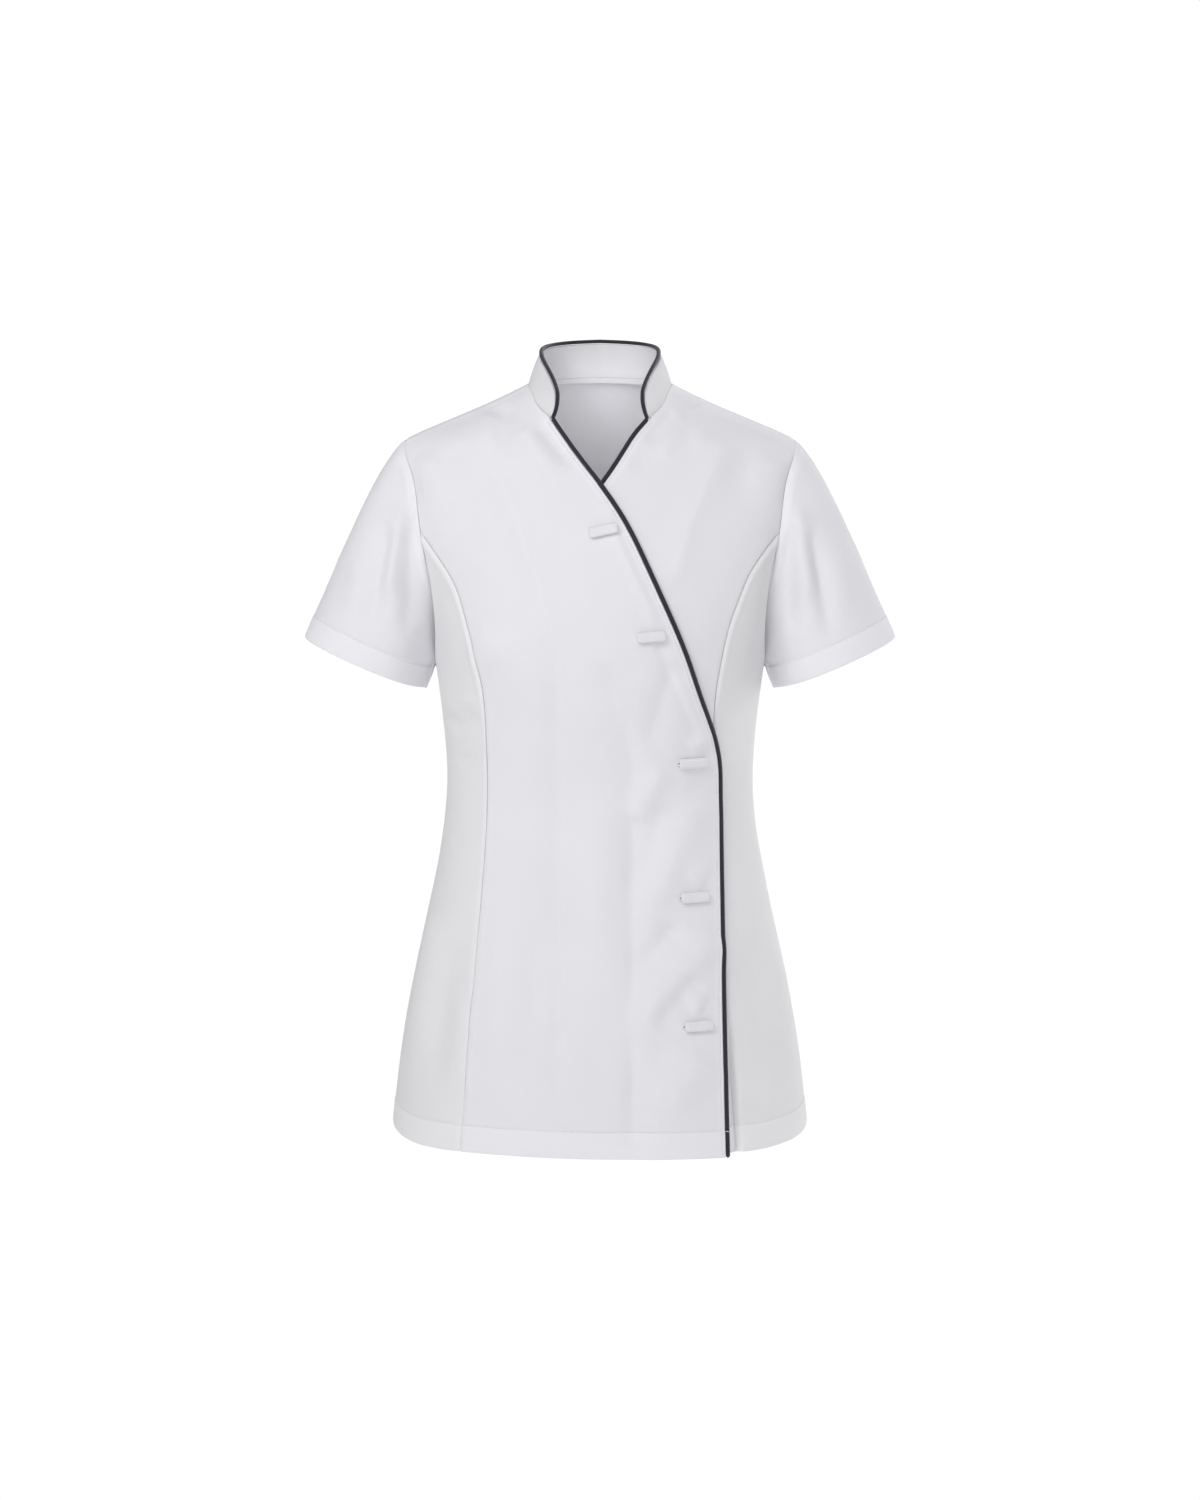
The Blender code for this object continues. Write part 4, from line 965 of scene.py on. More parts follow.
    def make(self, name, mat, thick=THICK):
        verts, uv = np.concatenate(self.verts), np.concatenate(self.uvs)
        quads = np.concatenate(self.quads)
        tris = np.concatenate(self.tris) if self.tris else np.zeros((0, 3), int)
        k = (self.index.shape[0] - 1) * (self.index.shape[1] - 1)
        a, b, c = (verts[quads[:k, i]] for i in (0, 1, 2))
        if (np.cross(b - a, c - b) * self.n[:-1, :-1].reshape(-1, 3)).sum() < 0:
            quads, tris = quads[:, ::-1], tris[:, ::-1]
        return add_mesh(name, verts, [quads, tris], mat, thick, uv, np.concatenate(self.painted_light_layers))


def add_mesh(name, verts, faces, mat, thick=0.0, uv=None, painted_light_layers=None):
    """faces is a list of arrays, one for each number of corners."""
    mesh = bpy.data.meshes.new(name)
    mesh.vertices.add(len(verts))
    mesh.vertices.foreach_set("co", np.asarray(verts, np.float32).ravel())
    faces = [np.asarray(f, np.int32) for f in faces if len(f)]
    loops = np.concatenate([f.ravel() for f in faces])
    total = np.concatenate([np.full(len(f), f.shape[1], np.int32) for f in faces])
    mesh.loops.add(len(loops))
    mesh.loops.foreach_set("vertex_index", loops)
    mesh.polygons.add(len(total))
    mesh.polygons.foreach_set("loop_start", np.concatenate([[0], np.cumsum(total)[:-1]]).astype(np.int32))
    mesh.polygons.foreach_set("loop_total", total)
    mesh.update(calc_edges=True)
    if uv is not None:
        layer = mesh.uv_layers.new(name="weave")
        layer.data.foreach_set("uv", np.asarray(uv, np.float32)[loops].ravel())
    # painted light: a point attribute telling the material how much lighter to paint the colour
    if painted_light_layers is not None:
        doubled_painted_light = mesh.attributes.new("doubled_painted_light", "FLOAT", "POINT")
        doubled_painted_light.data.foreach_set("value", np.asarray(painted_light_layers, np.float32))
    mesh.validate()
    mesh.shade_smooth()
    obj = bpy.data.objects.new(name, mesh)
    bpy.context.scene.collection.objects.link(obj)
    mesh.materials.append(mat)
    if thick:
        shell = obj.modifiers.new("wall", "SOLIDIFY")
        shell.thickness = thick
        shell.offset = -1.0
    return obj


def refine(path, step):
    """The same path with even, closer points."""
    path = np.asarray(path, float)
    d = path_lengths(path[None], 1)[0]
    keep = np.concatenate([[True], np.diff(d) > 1e-6])
    path, d = path[keep], d[keep]
    s = np.linspace(0, d[-1], max(3, int(d[-1] / step) + 1))
    return np.stack([np.interp(s, d, path[:, i]) for i in range(path.shape[1])], -1)


def tube_parts(path, normals, wide, high, sides=18, base=0, rounded=True):
    """Tube along a path, with half sizes along the surface and out of it."""
    path, normals = np.asarray(path, float), np.asarray(normals, float)
    t = unit(np.gradient(path, axis=0))
    n = unit(normals - t * (normals * t).sum(1, keepdims=True))
    s = np.cross(t, n)
    d = path_lengths(path[None], 1)[0]
    size = np.ones(len(path))
    if rounded:
        end = np.minimum(d, d[-1] - d)
        size = np.sqrt(np.clip(1 - (1 - np.clip(end / high, 0, 1)) ** 2, 0.06, 1))
    a = 2 * np.pi * np.arange(sides) / sides
    ring = (path[:, None] + s[:, None] * (np.cos(a)[None, :, None] * (wide * size)[:, None, None])
            + n[:, None] * (np.sin(a)[None, :, None] * (high * size)[:, None, None]))
    idx = base + np.arange(len(path) * sides).reshape(len(path), sides)
    nxt = np.roll(idx, -1, axis=1)
    quads = np.stack([idx[:-1], nxt[:-1], nxt[1:], idx[1:]], -1).reshape(-1, 4)
    caps = np.stack([idx[0][::-1], idx[-1]])
    uv = np.stack([np.repeat(d[:, None], sides, 1), np.repeat((a * wide)[None], len(path), 0)], -1)
    return ring.reshape(-1, 3), quads, caps, uv.reshape(-1, 2)


def tube(name, path, normals, wide, high, mat, sides=18):
    v, q, c, uv = tube_parts(path, normals, wide, high, sides)
    return add_mesh(name, v, [q, c], mat, 0.0, uv)


def stitches(name, paths, mat, pitch=0.0033, long=0.0024, radius=0.00034, sunk=0.0):
    """Lock stitches along paths of (points, outward directions)."""
    verts, quads, caps, base = [], [], [], 0
    sides = 6
    a = 2 * np.pi * np.arange(sides) / sides
    up = np.array([-0.9, 0.3, 0.8, 0.3, -0.9]) * radius - sunk
    size = np.array([0.45, 0.9, 1.0, 0.9, 0.45]) * radius
    for p, n in paths:
        d = path_lengths(np.asarray(p)[None], 1)[0]
        for s in np.arange(pitch * 0.5, d[-1] - pitch, pitch):
            t = s + long * np.array([0.0, 0.12, 0.5, 0.88, 1.0])
            q = np.stack([np.interp(t, d, p[:, i]) for i in range(3)], -1)
            m = unit(np.stack([np.interp(t, d, n[:, i]) for i in range(3)], -1))
            along = unit(q[-1] - q[0])
            m = unit(m - along * (m @ along)[:, None])
            c = np.cross(along, m)
            ring = (q + m * up[:, None])[:, None] + (c[:, None] * (np.cos(a)[None, :, None] * size[:, None, None] * 1.2)
                                                     + m[:, None] * (np.sin(a)[None, :, None] * size[:, None, None]))
            verts.append(ring.reshape(-1, 3))
            idx = base + np.arange(5 * sides).reshape(5, sides)
            nxt = np.roll(idx, -1, axis=1)
            quads.append(np.stack([idx[:-1], nxt[:-1], nxt[1:], idx[1:]], -1).reshape(-1, 4))
            caps.append(np.stack([idx[0][::-1], idx[-1]]))
            base += 5 * sides
    verts = np.concatenate(verts)
    return add_mesh(name, verts, [np.concatenate(quads), np.concatenate(caps)], mat, 0.0, verts[:, [0, 2]])


# ------------------------------------------------------------------- materials
def cloth_material(name, colour, rough=0.88, weave=0.35, pitch=0.00055, sheen=0.12, spec=0.25, thread=0.05):
    """Plain-coloured twill: diagonal ribs over crossed threads, with uneven
    yarn and a soft unevenness of tone."""
    mat = bpy.data.materials.new(name)
    mat.use_nodes = True
    nt = mat.node_tree
    new, link = nt.nodes.new, nt.links.new
    bsdf = nt.nodes["Principled BSDF"]
    bsdf.inputs["Roughness"].default_value = rough
    bsdf.inputs["Specular IOR Level"].default_value = spec
    bsdf.inputs["Sheen Weight"].default_value = sheen
    bsdf.inputs["Sheen Roughness"].default_value = 0.45
    uv = new("ShaderNodeUVMap")
    uv.uv_map = "weave"
    coords = new("ShaderNodeTexCoord")
    sep = new("ShaderNodeSeparateXYZ")
    link(uv.outputs["UV"], sep.inputs[0])

    def maths(op, a, b=None):
        node = new("ShaderNodeMath")
        node.operation = op
        for socket, value in zip(node.inputs, (a, b)):
            if isinstance(value, (int, float)):
                socket.default_value = value
            elif value is not None:
                link(value, socket)
        return node.outputs[0]

    def wave(x, y, length):
        return maths("SINE", maths("ADD", maths("MULTIPLY", sep.outputs["X"], x * 2 * math.pi / length),
                                   maths("MULTIPLY", sep.outputs["Y"], y * 2 * math.pi / length)))
    ribs = wave(0.80, 0.60, pitch * 1.7)
    crossed = maths("MULTIPLY", wave(1.0, 0.0, pitch), wave(0.0, 1.0, pitch))
    weaving = maths("ADD", ribs, crossed)
    yarn = new("ShaderNodeTexNoise")
    yarn.inputs["Scale"].default_value = 420.0
    yarn.inputs["Detail"].default_value = 2.0
    link(coords.outputs["Object"], yarn.inputs["Vector"])
    height = maths("ADD", weaving, maths("MULTIPLY", yarn.outputs["Fac"], 1.5))
    bump = new("ShaderNodeBump")
    bump.inputs["Strength"].default_value = weave
    bump.inputs["Distance"].default_value = 0.00004
    link(height, bump.inputs["Height"])
    link(bump.outputs["Normal"], bsdf.inputs["Normal"])
    tone = new("ShaderNodeTexNoise")
    tone.inputs["Scale"].default_value = 11.0
    tone.inputs["Detail"].default_value = 4.0
    link(coords.outputs["Object"], tone.inputs["Vector"])
    ramp = new("ShaderNodeValToRGB")
    ramp.color_ramp.elements[0].position = 0.35
    ramp.color_ramp.elements[0].color = (*[c * 0.982 for c in colour], 1)
    ramp.color_ramp.elements[1].position = 0.65
    ramp.color_ramp.elements[1].color = (*colour, 1)
    link(tone.outputs["Fac"], ramp.inputs["Fac"])
    shade = new("ShaderNodeMapRange")
    shade.inputs["From Min"].default_value, shade.inputs["From Max"].default_value = -2.0, 2.0
    shade.inputs["To Min"].default_value, shade.inputs["To Max"].default_value = 1.0 - thread, 1.0
    link(weaving, shade.inputs["Value"])
    # painted light: the colour is made lighter by a point attribute, on cloth in two layers and on the rolls beside the
    # seams
    doubled_painted_light = new("ShaderNodeAttribute")
    doubled_painted_light.attribute_name = "doubled_painted_light"
    value = maths("MULTIPLY", shade.outputs["Result"],
                  maths("ADD", maths("MULTIPLY", doubled_painted_light.outputs["Fac"], DOUBLED_PAINTED_LIGHT), 1.0))
    grey = new("ShaderNodeCombineColor")
    for s in ("Red", "Green", "Blue"):
        link(value, grey.inputs[s])
    both = new("ShaderNodeMix")
    both.data_type, both.blend_type = "RGBA", "MULTIPLY"
    both.inputs["Factor"].default_value = 1.0
    link(ramp.outputs["Color"], both.inputs["A"])
    link(grey.outputs["Color"], both.inputs["B"])
    link(both.outputs["Result"], bsdf.inputs["Base Color"])
    return mat


white = cloth_material("white_twill", (0.812, 0.808, 0.842))
# painted shade: a greyer copy of the white twill for the side fronts, which are the same cloth
shaded_side_white = cloth_material("white_twill_side_painted_shade", (0.803, 0.800, 0.818))
# painted shade: a darker copy of the white twill for the collar and the neck allowance inside it
shaded_collar_white = cloth_material("white_twill_collar", (0.772, 0.768, 0.792))
toggle_white = cloth_material("white_toggle", (0.800, 0.797, 0.820), rough=0.80, weave=0.5, pitch=0.00045)
thread_white = cloth_material("white_thread", (0.83, 0.825, 0.85), rough=0.6, weave=0.5, pitch=0.00035, thread=0.10)
navy = cloth_material("navy_bias", (0.0150, 0.0135, 0.0280), rough=0.55, weave=0.8, pitch=0.00050, sheen=0.30,
                      spec=0.35, thread=0.45)


def place(obj, nodes=()):
    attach(obj, "root")
    if nodes:
        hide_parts(*nodes)
    return obj


def settle(p, extra):
    """From the body form to the cloth: creases, and what a piece adds."""
    n = body_normal(p)
    q = p + n * (body_relief(p, n) + extra)[..., None]
    return q, grid_normals(q, n)


def swell(d, high, at, wide):
    """Soft roll beside a seam, nothing at the seam itself."""
    return high * np.exp(-((d - at) / wide) ** 2) * smoothstep(d / (at * 0.8))


def valley(d, deep, wide=0.0021):
    """The cloth dips towards a seam."""
    return -deep * np.exp(-(d / wide) ** 2)


def band(d, wide, soft=0.0012):
    """1 within a width of a seam or edge; it marks where the colour is painted lighter for cloth in two layers."""
    return smoothstep((wide - d) / soft + 0.5)


def hem_form(p, d, depth=HEM_DEEP):
    """The turned-up band stands out a little; its stitches pull in and pucker."""
    groove = -0.00040 * np.exp(-((d - depth) / 0.0010) ** 2)
    band = 0.00045 * smoothstep((depth - d) / 0.0016 + 0.5) * smoothstep(d / 0.004)
    x = np.arctan2(p[..., 0], -p[..., 1]) * 0.15
    return groove + band + 0.00022 * ripple(x, 0 * x, 3, 0.011) * np.exp(-((d - depth) / 0.006) ** 2)


def slit(z):
    """How far the left princess seam dips into a deep fold beside the wrap near the hem."""
    return smoothstep((-0.548 - z) / 0.060)


SEAMED = {"bottom": HEM_ROLL, "right": ROLL, "top": ROLL, "left": ROLL}
hem_paths, edge_paths = [], []


def build_front(name, side, edge, hem, mid_cols, lifted):
    p, corner = front_surface(side, edge, hem, mid_cols, 190, 52, 14)
    u, v = path_lengths(p, 1), path_lengths(p, 0)
    right = u[:, -1:] - u
    free = (np.arange(len(p)) <= corner)[:, None]
    extra = hem_form(p, v + HEM_ROLL)
    from_pipe = right + FREE[0]
    extra = extra - 0.00030 * np.exp(-((from_pipe - EDGE_STITCH) / 0.0007) ** 2) * free
    extra = extra + swell(right, 0.00022, 0.0010, 0.0010) * free
    seam = 0.35 + 0.65 * smoothstep((SPLIT_Z - p[..., 2]) / 0.01)
    extra = extra + (swell(u, 0.00025, 0.0045, 0.0035) + valley(u, 0.00060, 0.0014)) * seam
    if lifted:
        extra = extra + lift(p)
    else:
        extra = extra + valley(u, 0.0016, 0.0022) * slit(p[..., 2])
    q, n = settle(p, extra)
    # painted light: lighter colour on the hem band, beside the free edge and at the shoulder top, for cloth in two
    # layers
    doubled_painted_light = np.maximum(band(v + HEM_ROLL, HEM_DEEP), 0.9 * band(from_pipe, 0.0088) * free)
    doubled_painted_light = np.maximum(doubled_painted_light, 0.5 * band(v[-1:] - v, 0.008) * (p[..., 2] > -0.1))
    sheet = Sheet(q, n, SEAMED, doubled_painted_light)
    sheet.under("left", 0.0075)
    sheet.under("right", 0.0080, last=corner + 1)
    sheet.under("right", 0.0075, first=corner + 1)
    sheet.under("top", 0.0075)
    sheet.under("bottom", HEM_DEEP - 0.0012, closing=True)
    place(sheet.make(name + "_cloth", white), [name])
    hem_paths.append((q[HEM_ROW], n[HEM_ROW]))
    edge_paths.append((q[:corner + 1, FREE_COL], n[:corner + 1, FREE_COL]))
    return q, n, corner


right_q, right_n, right_corner = build_front("front_right", -1, lap_edge, hem_right, 84, True)
left_q, left_n, left_corner = build_front("front_left", 1, under_edge, hem_left, 58, False)

for name, side, hem in (("side_front_right", -1, hem_right), ("side_front_left", 1, hem_left)):
    p = side_surface(side, hem, 44, 190)
    u, v = path_lengths(p, 1), path_lengths(p, 0)
    upper = smoothstep((p[..., 2] + 0.30) / 0.05)
    inner = u[:, -1:] - u
    extra = (hem_form(p, v + HEM_ROLL) + swell(inner, 0.0009, 0.0068, 0.0055) * upper
             + swell(inner, 0.00025, 0.0060, 0.0040) * (1 - upper) + swell(u, 0.0003, 0.0035, 0.003)
             + valley(inner, 0.00060, 0.0014) + valley(u, 0.0003) + swell(v[-1:] - v, 0.0004, 0.0045, 0.0035))
    if side > 0:
        extra = extra + valley(inner - 0.0032, 0.0085, 0.0026) * slit(p[..., 2])
    q, n = settle(p, extra)
    # painted light: lighter colour on the hem band and beside the seams, strongest up the princess seam where it stands
    # in for a lit roll
    doubled_painted_light = np.maximum(band(v + HEM_ROLL, HEM_DEEP), (0.15 + 0.75 * upper) * band(inner, 0.0066, 0.0050))
    doubled_painted_light = np.maximum(doubled_painted_light, 0.5 * band(u, 0.0075))
    sheet = Sheet(q, n, SEAMED, doubled_painted_light)
    for border in ("left", "right", "top"):
        sheet.under(border, 0.0075)
    sheet.under("bottom", HEM_DEEP - 0.0012, closing=True)
    # painted shade: the side fronts get the greyer copy of the white twill
    place(sheet.make(name + "_cloth", shaded_side_white), [name])
    hem_paths.append((q[HEM_ROW], n[HEM_ROW]))

p = back_surface(120, 118, 34, 46)
u, v = path_lengths(p, 1), path_lengths(p, 0)
# two waist darts, sewn to a point above and below
dart = np.zeros(p.shape[:2])
for sign in (-1, 1):
    along = np.clip((p[..., 2] + 0.450) / 0.275, 0, 1)
    x0 = sign * (0.0760 - 0.0040 * along)
    line = np.exp(-((p[..., 0] - x0) / 0.0009) ** 2)
    soft = np.exp(-((p[..., 0] - x0) / 0.0060) ** 2)
    fade = smoothstep(along / 0.12) * smoothstep((1 - along) / 0.12)
    dart -= (0.00045 * line + 0.0007 * soft) * fade
left_d, right_d, top_d = u, u[:, -1:] - u, v[-1:] - v
q, n = settle(p, hem_form(p, v + HEM_ROLL) + dart + swell(left_d, 0.0003, 0.0035, 0.003)
              + swell(right_d, 0.0003, 0.0035, 0.003) + valley(left_d, 0.0003) + valley(right_d, 0.0003)
              + valley(top_d, 0.0003) + swell(top_d, 0.0003, 0.0035, 0.003))
# painted light: lighter colour on the hem band and beside the side and top seams, for cloth in two layers
doubled_painted_light = np.maximum(band(v + HEM_ROLL, HEM_DEEP), 0.5 * band(left_d, 0.0075))
doubled_painted_light = np.maximum(np.maximum(doubled_painted_light, 0.5 * band(right_d, 0.0075)), 0.9 * band(top_d, 0.0078))
sheet = Sheet(q, n, SEAMED, doubled_painted_light)
for border in ("left", "right", "top"):
    sheet.under(border, 0.0075)
sheet.under("bottom", HEM_DEEP - 0.0012, closing=True)
place(sheet.make("back_cloth", white), ["back"])
hem_paths.append((q[HEM_ROW], n[HEM_ROW]))
back_q, back_n = q, n

cuff_paths = []
for name, side in (("sleeve_right", -1), ("sleeve_left", 1)):
    p, deg, t = sleeve_surface(104, 50)
    n = grid_normals(p, p - np.array([0.19, 0, -0.17]))
    p, n = p * [side, 1, 1], n * [side, 1, 1]
    u, v = path_lengths(p, 1), path_lengths(p, 0)
    d = swell(v[-1:] - v, 0.0003, 0.0050, 0.0040)
    flat, nf = p.reshape(-1, 3), n.reshape(-1, 3)
    mask = smoothstep((-nf[:, 1] + 0.15) / 0.5)
    shown = seen(flat)
    relief = np.zeros(len(flat))
    for row in SLEEVE_CREASES:
        relief += SLEEVE_PRESS * crease(shown, *row)
    d = d + (relief * mask).reshape(d.shape)
    for high, wide, a0, a1, t0, t1 in SLEEVE_BACK:
        around = np.mod(deg, 360) - (a0 + (a1 - a0) * t) - 6 * side * t * (1 - t)
        d = d + SLEEVE_BACK_PRESS * high * 1e-3 * np.exp(-(around / wide) ** 2) * smoothstep((t - t0) / 0.25) * smoothstep((t1 - t) / 0.2)
    d = d + hem_form(p, v + HEM_ROLL, CUFF_STITCH) + 0.0002 * ripple(np.radians(deg) * 0.05, v, 21 + side, 0.035)
    q = p + n * (d * smoothstep((v[-1:] - v) / 0.009))[..., None]
    # the lower inner part lies close beside the body and turns towards it
    near = np.where(flat[:, :1] < 0, shown, [1200, 0] + shown * [-1, 1])
    q[..., 0] -= side * 0.0042 * crease(near, 1000.0, 9, 7, 30, 10, 0.0, SLEEVE_TUCK).reshape(d.shape)
    turned = crease(near, 1000.0, 26, 14, 140, 10, 0.0, SLEEVE_INNER) * mask
    q[..., 1] += 0.0230 * turned.reshape(d.shape)
    n = grid_normals(q, n)
    # painted light: lighter colour on the cuff band and beside the armhole seam, for cloth in two layers
    doubled_painted_light = np.maximum(band(v + HEM_ROLL, CUFF_STITCH), 0.8 * band(v[-1:] - v, 0.0078, 0.003))
    sheet = Sheet(q, n, SEAMED, doubled_painted_light)
    for border in ("left", "right", "top"):
        sheet.under(border, 0.0075)
    sheet.under("bottom", CUFF_STITCH - 0.0012, closing=True)
    place(sheet.make(name + "_cloth", white), [name])
    cuff_paths.append((q[CUFF_ROW], n[CUFF_ROW]))

p, collar_line, r = collar_surface(180, 9)
n = grid_normals(p, p * [1, 1, 0])
sheet = Sheet(p, n, {"bottom": r, "right": r[-1], "top": r, "left": r[0]})
sheet.close()
# painted shade: the collar gets the darker copy of the white twill
place(sheet.make("collar_cloth", shaded_collar_white, 0.0), ["collar"])

def edge_line(edge, top_z, low_z, raise_by, lifted):
    z = np.linspace(top_z, low_z, int((top_z - low_z) / 0.0012))
    p = ring_point(ring_angle(edge(z)[:, 0], z), z)
    n = body_normal(p)
    up = body_relief(p, n) + raise_by + (lift(p) if lifted else 0)
    # a little past the corner where it meets the collar's piping
    line = p + n * up[:, None]
    line = np.concatenate([[line[0] + unit(line[0] - line[4]) * 0.0010], line])
    return refine(line, 0.0013), n


corners = {}
bottom_z = float(hem_right(float(lap_edge(np.array(-0.6740))[0]))[0])
for name, edge, low_z, raise_by, lifted in (("piping_front_right", lap_edge, bottom_z, -0.0003, True),
                                            ("piping_front_left", under_edge, -0.1055, -0.0009, False)):
    line, out = edge_line(edge, LAP_EDGE[0][0], low_z, raise_by, lifted)
    out = np.stack([np.interp(np.linspace(0, 1, len(line)), np.linspace(0, 1, len(out)), out[:, i]) for i in range(3)], -1)
    place(tube(name + "_bias", line, out, PIPE_WIDE, PIPE_HIGH, navy), [name])
    corners[1 if lifted else 0] = line[0]
    if lifted:
        lap_line, lap_out = line, out

# the collar's piping runs on to the two corners
inner = unit(-collar_line * [1, 1, 0])
line = collar_line + inner * 0.00060
long = path_lengths(line[None], 1)[0]
line = line[(long > 0.0020) & (long < long[-1] - 0.0020)]
ends = [c + unit(c - line[k]) * 0.0004 for c, k in ((corners[0], 0), (corners[1], -1))]
line = refine(np.concatenate([[ends[0]], line, [ends[1]]]), 0.0012)
out = unit(line * [1, 1, 0])
place(tube("piping_collar_bias", line, out, PIPE_HIGH, PIPE_WIDE, navy), ["piping_collar"])

# what closes the seams from inside: allowances at the armholes and the neck
for side, name in ((-1, "right"), (1, "left")):
    line = armhole(np.linspace(0, 360, 361))
    nn = body_normal(line)
    line = (line - nn * 0.00125) * [side, 1, 1]
    place(tube("allowance_armhole_" + name, refine(line[:-1], 0.0022), np.tile([side * 1.0, 0, 0.001], (len(refine(line[:-1], 0.0022)), 1)),
               0.0007, 0.0007, white, 8))
line = neck(np.linspace(66, 294, 229))
out = unit(line * [1, 1, 0])
line = refine(line - out * 0.0011 - np.array([0, 0, 0.0024]), 0.0022)
# painted shade: the neck allowance inside the collar gets the darker copy of the white twill
place(tube("allowance_neck", line, unit(line * [1, 1, 0]), 0.0026, 0.0005, shaded_collar_white, 16))

# thread of the hem across the piping
k = int(np.argmin(np.abs(lap_line[:, 2] - (bottom_z + HEM_DEEP))))
side_way = np.cross(unit(lap_line[k + 1] - lap_line[k]), lap_out[k])
bow = np.linspace(-1, 1, 13)
arc = (lap_line[k] + side_way * (bow * 0.0022)[:, None]
       + lap_out[k] * (np.sqrt(np.maximum(1 - (bow * 0.93) ** 2, 0)) * (PIPE_HIGH + 0.0001))[:, None]
       + np.array([0, 0, 1]) * (bow * 0.0004)[:, None])
place(tube("thread_piping", refine(arc, 0.0003), np.tile(lap_out[k], (len(refine(arc, 0.0003)), 1)),
           0.00028, 0.00028, thread_white, 8))


# toggles
def over(x, z):
    p = np.array([[x, -0.1, z]])
    p = ring_point(ring_angle(p[:, 0], p[:, 2]), p[:, 2])
    n = body_normal(p)
    return p[0] + n[0] * (lift(p) + body_relief(p, n))[0], n[0]


for i, (x, z, tilt, loop) in enumerate(TOGGLES):
    c, s = math.cos(math.radians(tilt)), math.sin(math.radians(tilt))
    stations, sides = 41, 32
    along = np.sin(np.linspace(-math.pi / 2, math.pi / 2, stations))
    along = 0.55 * along + 0.45 * np.linspace(-1, 1, stations)
    rings = []
    a = 2 * np.pi * np.arange(sides) / sides
    ca, sa = np.cos(a), np.sin(a)
    rng = np.random.RandomState(40 + i)
    wob = rng.uniform(-1, 1, 4)
    for f in along:
        d = f * TOGGLE_LONG / 2
        p, n = over(x + d * c, z + d * s)
        t = unit(over(x + (d + 1e-4) * c, z + (d + 1e-4) * s)[0] - over(x + (d - 1e-4) * c, z + (d - 1e-4) * s)[0])
        n = unit(n - t * n.dot(t))
        w = np.cross(n, t)
        # rounded ends: the last 3 mm draw in
        e = max(0.0, (abs(f) * TOGGLE_LONG / 2 - (TOGGLE_LONG / 2 - 0.0030)) / 0.0030)
        k = (1 - e ** 2.6) ** (1 / 2.6) if e < 1 else 0.0
        high = TOGGLE_HIGH / 2 * (0.55 + 0.45 * k) * (1 + 0.02 * math.sin(5 * f + wob[0]))
        deep = TOGGLE_DEEP / 2 * (0.25 + 0.75 * k) * (1 + 0.05 * math.sin(4 * f + wob[1]))
        if abs(f) >= 0.9999:
            high, deep = high * 0.8, deep * 0.6
        lean = 0.0002 * math.sin(3 * f + wob[2])
        mid = p + n * (TOGGLE_GAP + TOGGLE_DEEP / 2) + w * lean
        hx = np.sign(ca) * np.abs(ca) ** 0.62 * high
        dx = np.sign(sa) * np.abs(sa) ** 0.80 * deep
        rings.append(mid + w * hx[:, None] + n * dx[:, None])
    verts = np.concatenate(rings)
    idx = np.arange(len(verts)).reshape(stations, sides)
    nxt = np.roll(idx, -1, axis=1)
    quads = np.stack([idx[:-1], nxt[:-1], nxt[1:], idx[1:]], -1).reshape(-1, 4)
    caps = np.stack([idx[0][::-1], idx[-1]])
    uv = np.stack([np.repeat(along * TOGGLE_LONG / 2, sides), np.tile(a * 0.0037, stations)], -1)
    name = "toggle_%d" % (i + 1)
    bar = place(add_mesh(name + "_bar", verts, [quads, caps], toggle_white, 0.0, uv), [name])
    if loop:
        # the loop that the bar is slipped through shows past its end
        h = np.linspace(-math.pi / 2, math.pi / 2, 21)
        xs = np.concatenate([[0.0060, 0.0030], -0.0014 * np.cos(h), [0.0030, 0.0060]]) - TOGGLE_LONG / 2 - 0.0007
        zs = np.concatenate([[-0.0014, -0.0014], 0.0014 * np.sin(h), [0.0014, 0.0014]])
        path = []
        for px, pz in zip(xs, zs):
            q, n = over(x + px * c - pz * s, z + px * s + pz * c)
            path.append(q + n * 0.0010)
        path = refine(np.array(path), 0.0004)
        nn = np.tile(over(x - TOGGLE_LONG / 2 * c, z)[1], (len(path), 1))
        place(tube("loop_%d" % (i + 1), path, nn, 0.00085, 0.00085, toggle_white, 12), ())

place(stitches("stitches_hem", hem_paths, thread_white), ())
place(stitches("stitches_cuffs", cuff_paths, thread_white), ())
place(stitches("stitches_edges", [edge_paths[0], (edge_paths[1][0][-60:], edge_paths[1][1][-60:])], thread_white), ())

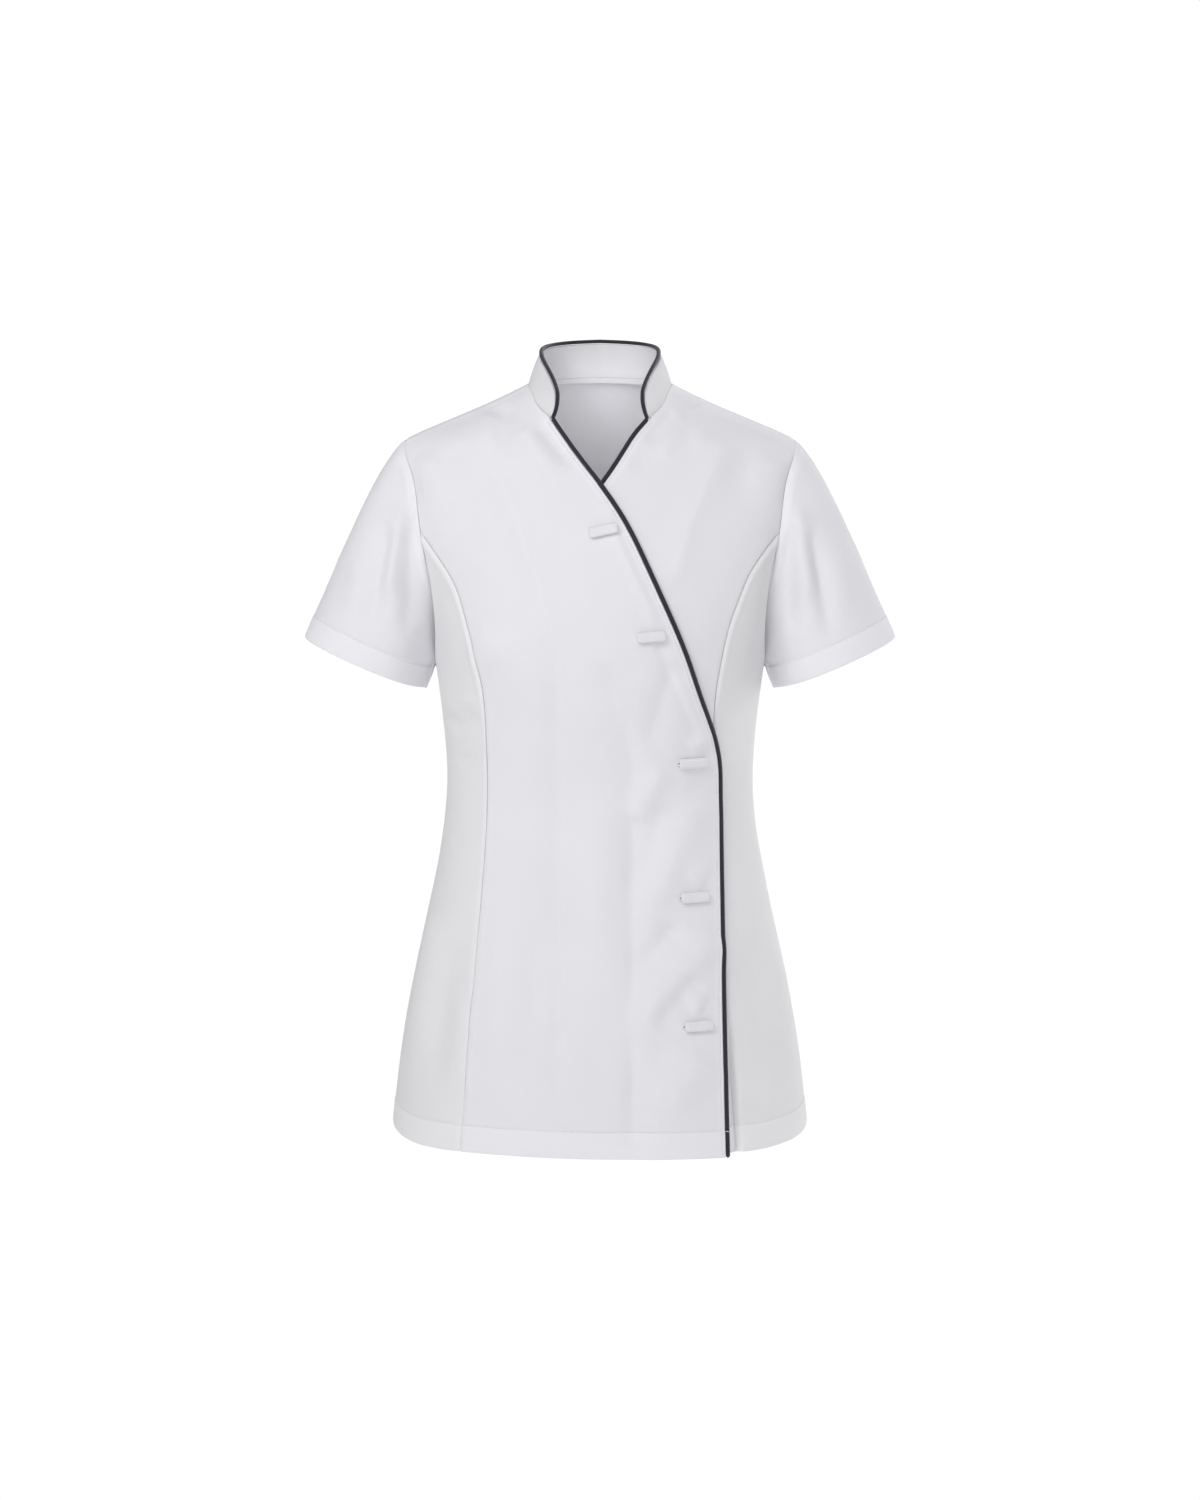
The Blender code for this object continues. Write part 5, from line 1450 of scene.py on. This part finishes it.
# ---------------------------------------------------------------- floor, lights
mesh = bpy.data.meshes.new("floor")
mesh.from_pydata([(-30, -30, -1.45), (30, -30, -1.45), (30, 30, -1.45), (-30, 30, -1.45)], [], [(0, 1, 2, 3)])
floor = bpy.data.objects.new("floor", mesh)
bpy.context.scene.collection.objects.link(floor)
mat = bpy.data.materials.new("floor_paper")
mat.use_nodes = True
nt = mat.node_tree
shader = nt.nodes["Principled BSDF"]
shader.inputs["Base Color"].default_value = (0.6, 0.6, 0.6, 1)
shader.inputs["Roughness"].default_value = 0.9
shader.inputs["Emission Color"].default_value = (1, 1, 1, 1)
shader.inputs["Emission Strength"].default_value = FLOOR_GLOW
paper = nt.nodes.new("ShaderNodeEmission")
paper.inputs["Strength"].default_value = 1.02
ray, blend = nt.nodes.new("ShaderNodeLightPath"), nt.nodes.new("ShaderNodeMixShader")
nt.links.new(ray.outputs["Is Camera Ray"], blend.inputs[0])
nt.links.new(shader.outputs[0], blend.inputs[1])
nt.links.new(paper.outputs[0], blend.inputs[2])
nt.links.new(blend.outputs[0], nt.nodes["Material Output"].inputs["Surface"])
mesh.materials.append(mat)

world = bpy.data.worlds.new("studio") if not bpy.context.scene.world else bpy.context.scene.world
bpy.context.scene.world = world
world.use_nodes = True
nt = world.node_tree
nt.nodes.clear()
output = nt.nodes.new("ShaderNodeOutputWorld")
mix = nt.nodes.new("ShaderNodeMixShader")
path = nt.nodes.new("ShaderNodeLightPath")
soft = nt.nodes.new("ShaderNodeBackground")
soft.inputs["Color"].default_value = (0.995, 0.997, 1.0, 1)
soft.inputs["Strength"].default_value = WORLD
plain = nt.nodes.new("ShaderNodeBackground")
plain.inputs["Color"].default_value = (1, 1, 1, 1)
plain.inputs["Strength"].default_value = 1.05
nt.links.new(path.outputs["Is Camera Ray"], mix.inputs[0])
nt.links.new(soft.outputs[0], mix.inputs[1])
nt.links.new(plain.outputs[0], mix.inputs[2])
nt.links.new(mix.outputs[0], output.inputs["Surface"])


for name, where, faces, size, power in LIGHTS:
    lamp = bpy.data.lights.new(name, "AREA")
    lamp.shape, lamp.size, lamp.energy = "SQUARE", size, power
    obj = bpy.data.objects.new(name, lamp)
    obj.location = where
    obj.rotation_euler = (Vector(faces) - Vector(where)).to_track_quat("-Z", "Y").to_euler()
    obj.visible_camera = False
    bpy.context.scene.collection.objects.link(obj)

scene = bpy.context.scene
scene.view_settings.view_transform = "Standard"
scene.view_settings.look = "None"
scene.view_settings.exposure = 0.0
scene.view_settings.gamma = 1.0
camera = bpy.data.cameras.new("camera")
camera.lens, camera.sensor_width = 68.28, 36.0
cam = bpy.data.objects.new("camera", camera)
cam.location = EYE
cam.rotation_euler = (Vector(LOOK) - Vector(EYE)).to_track_quat("-Z", "Y").to_euler()
scene.collection.objects.link(cam)
scene.camera = cam
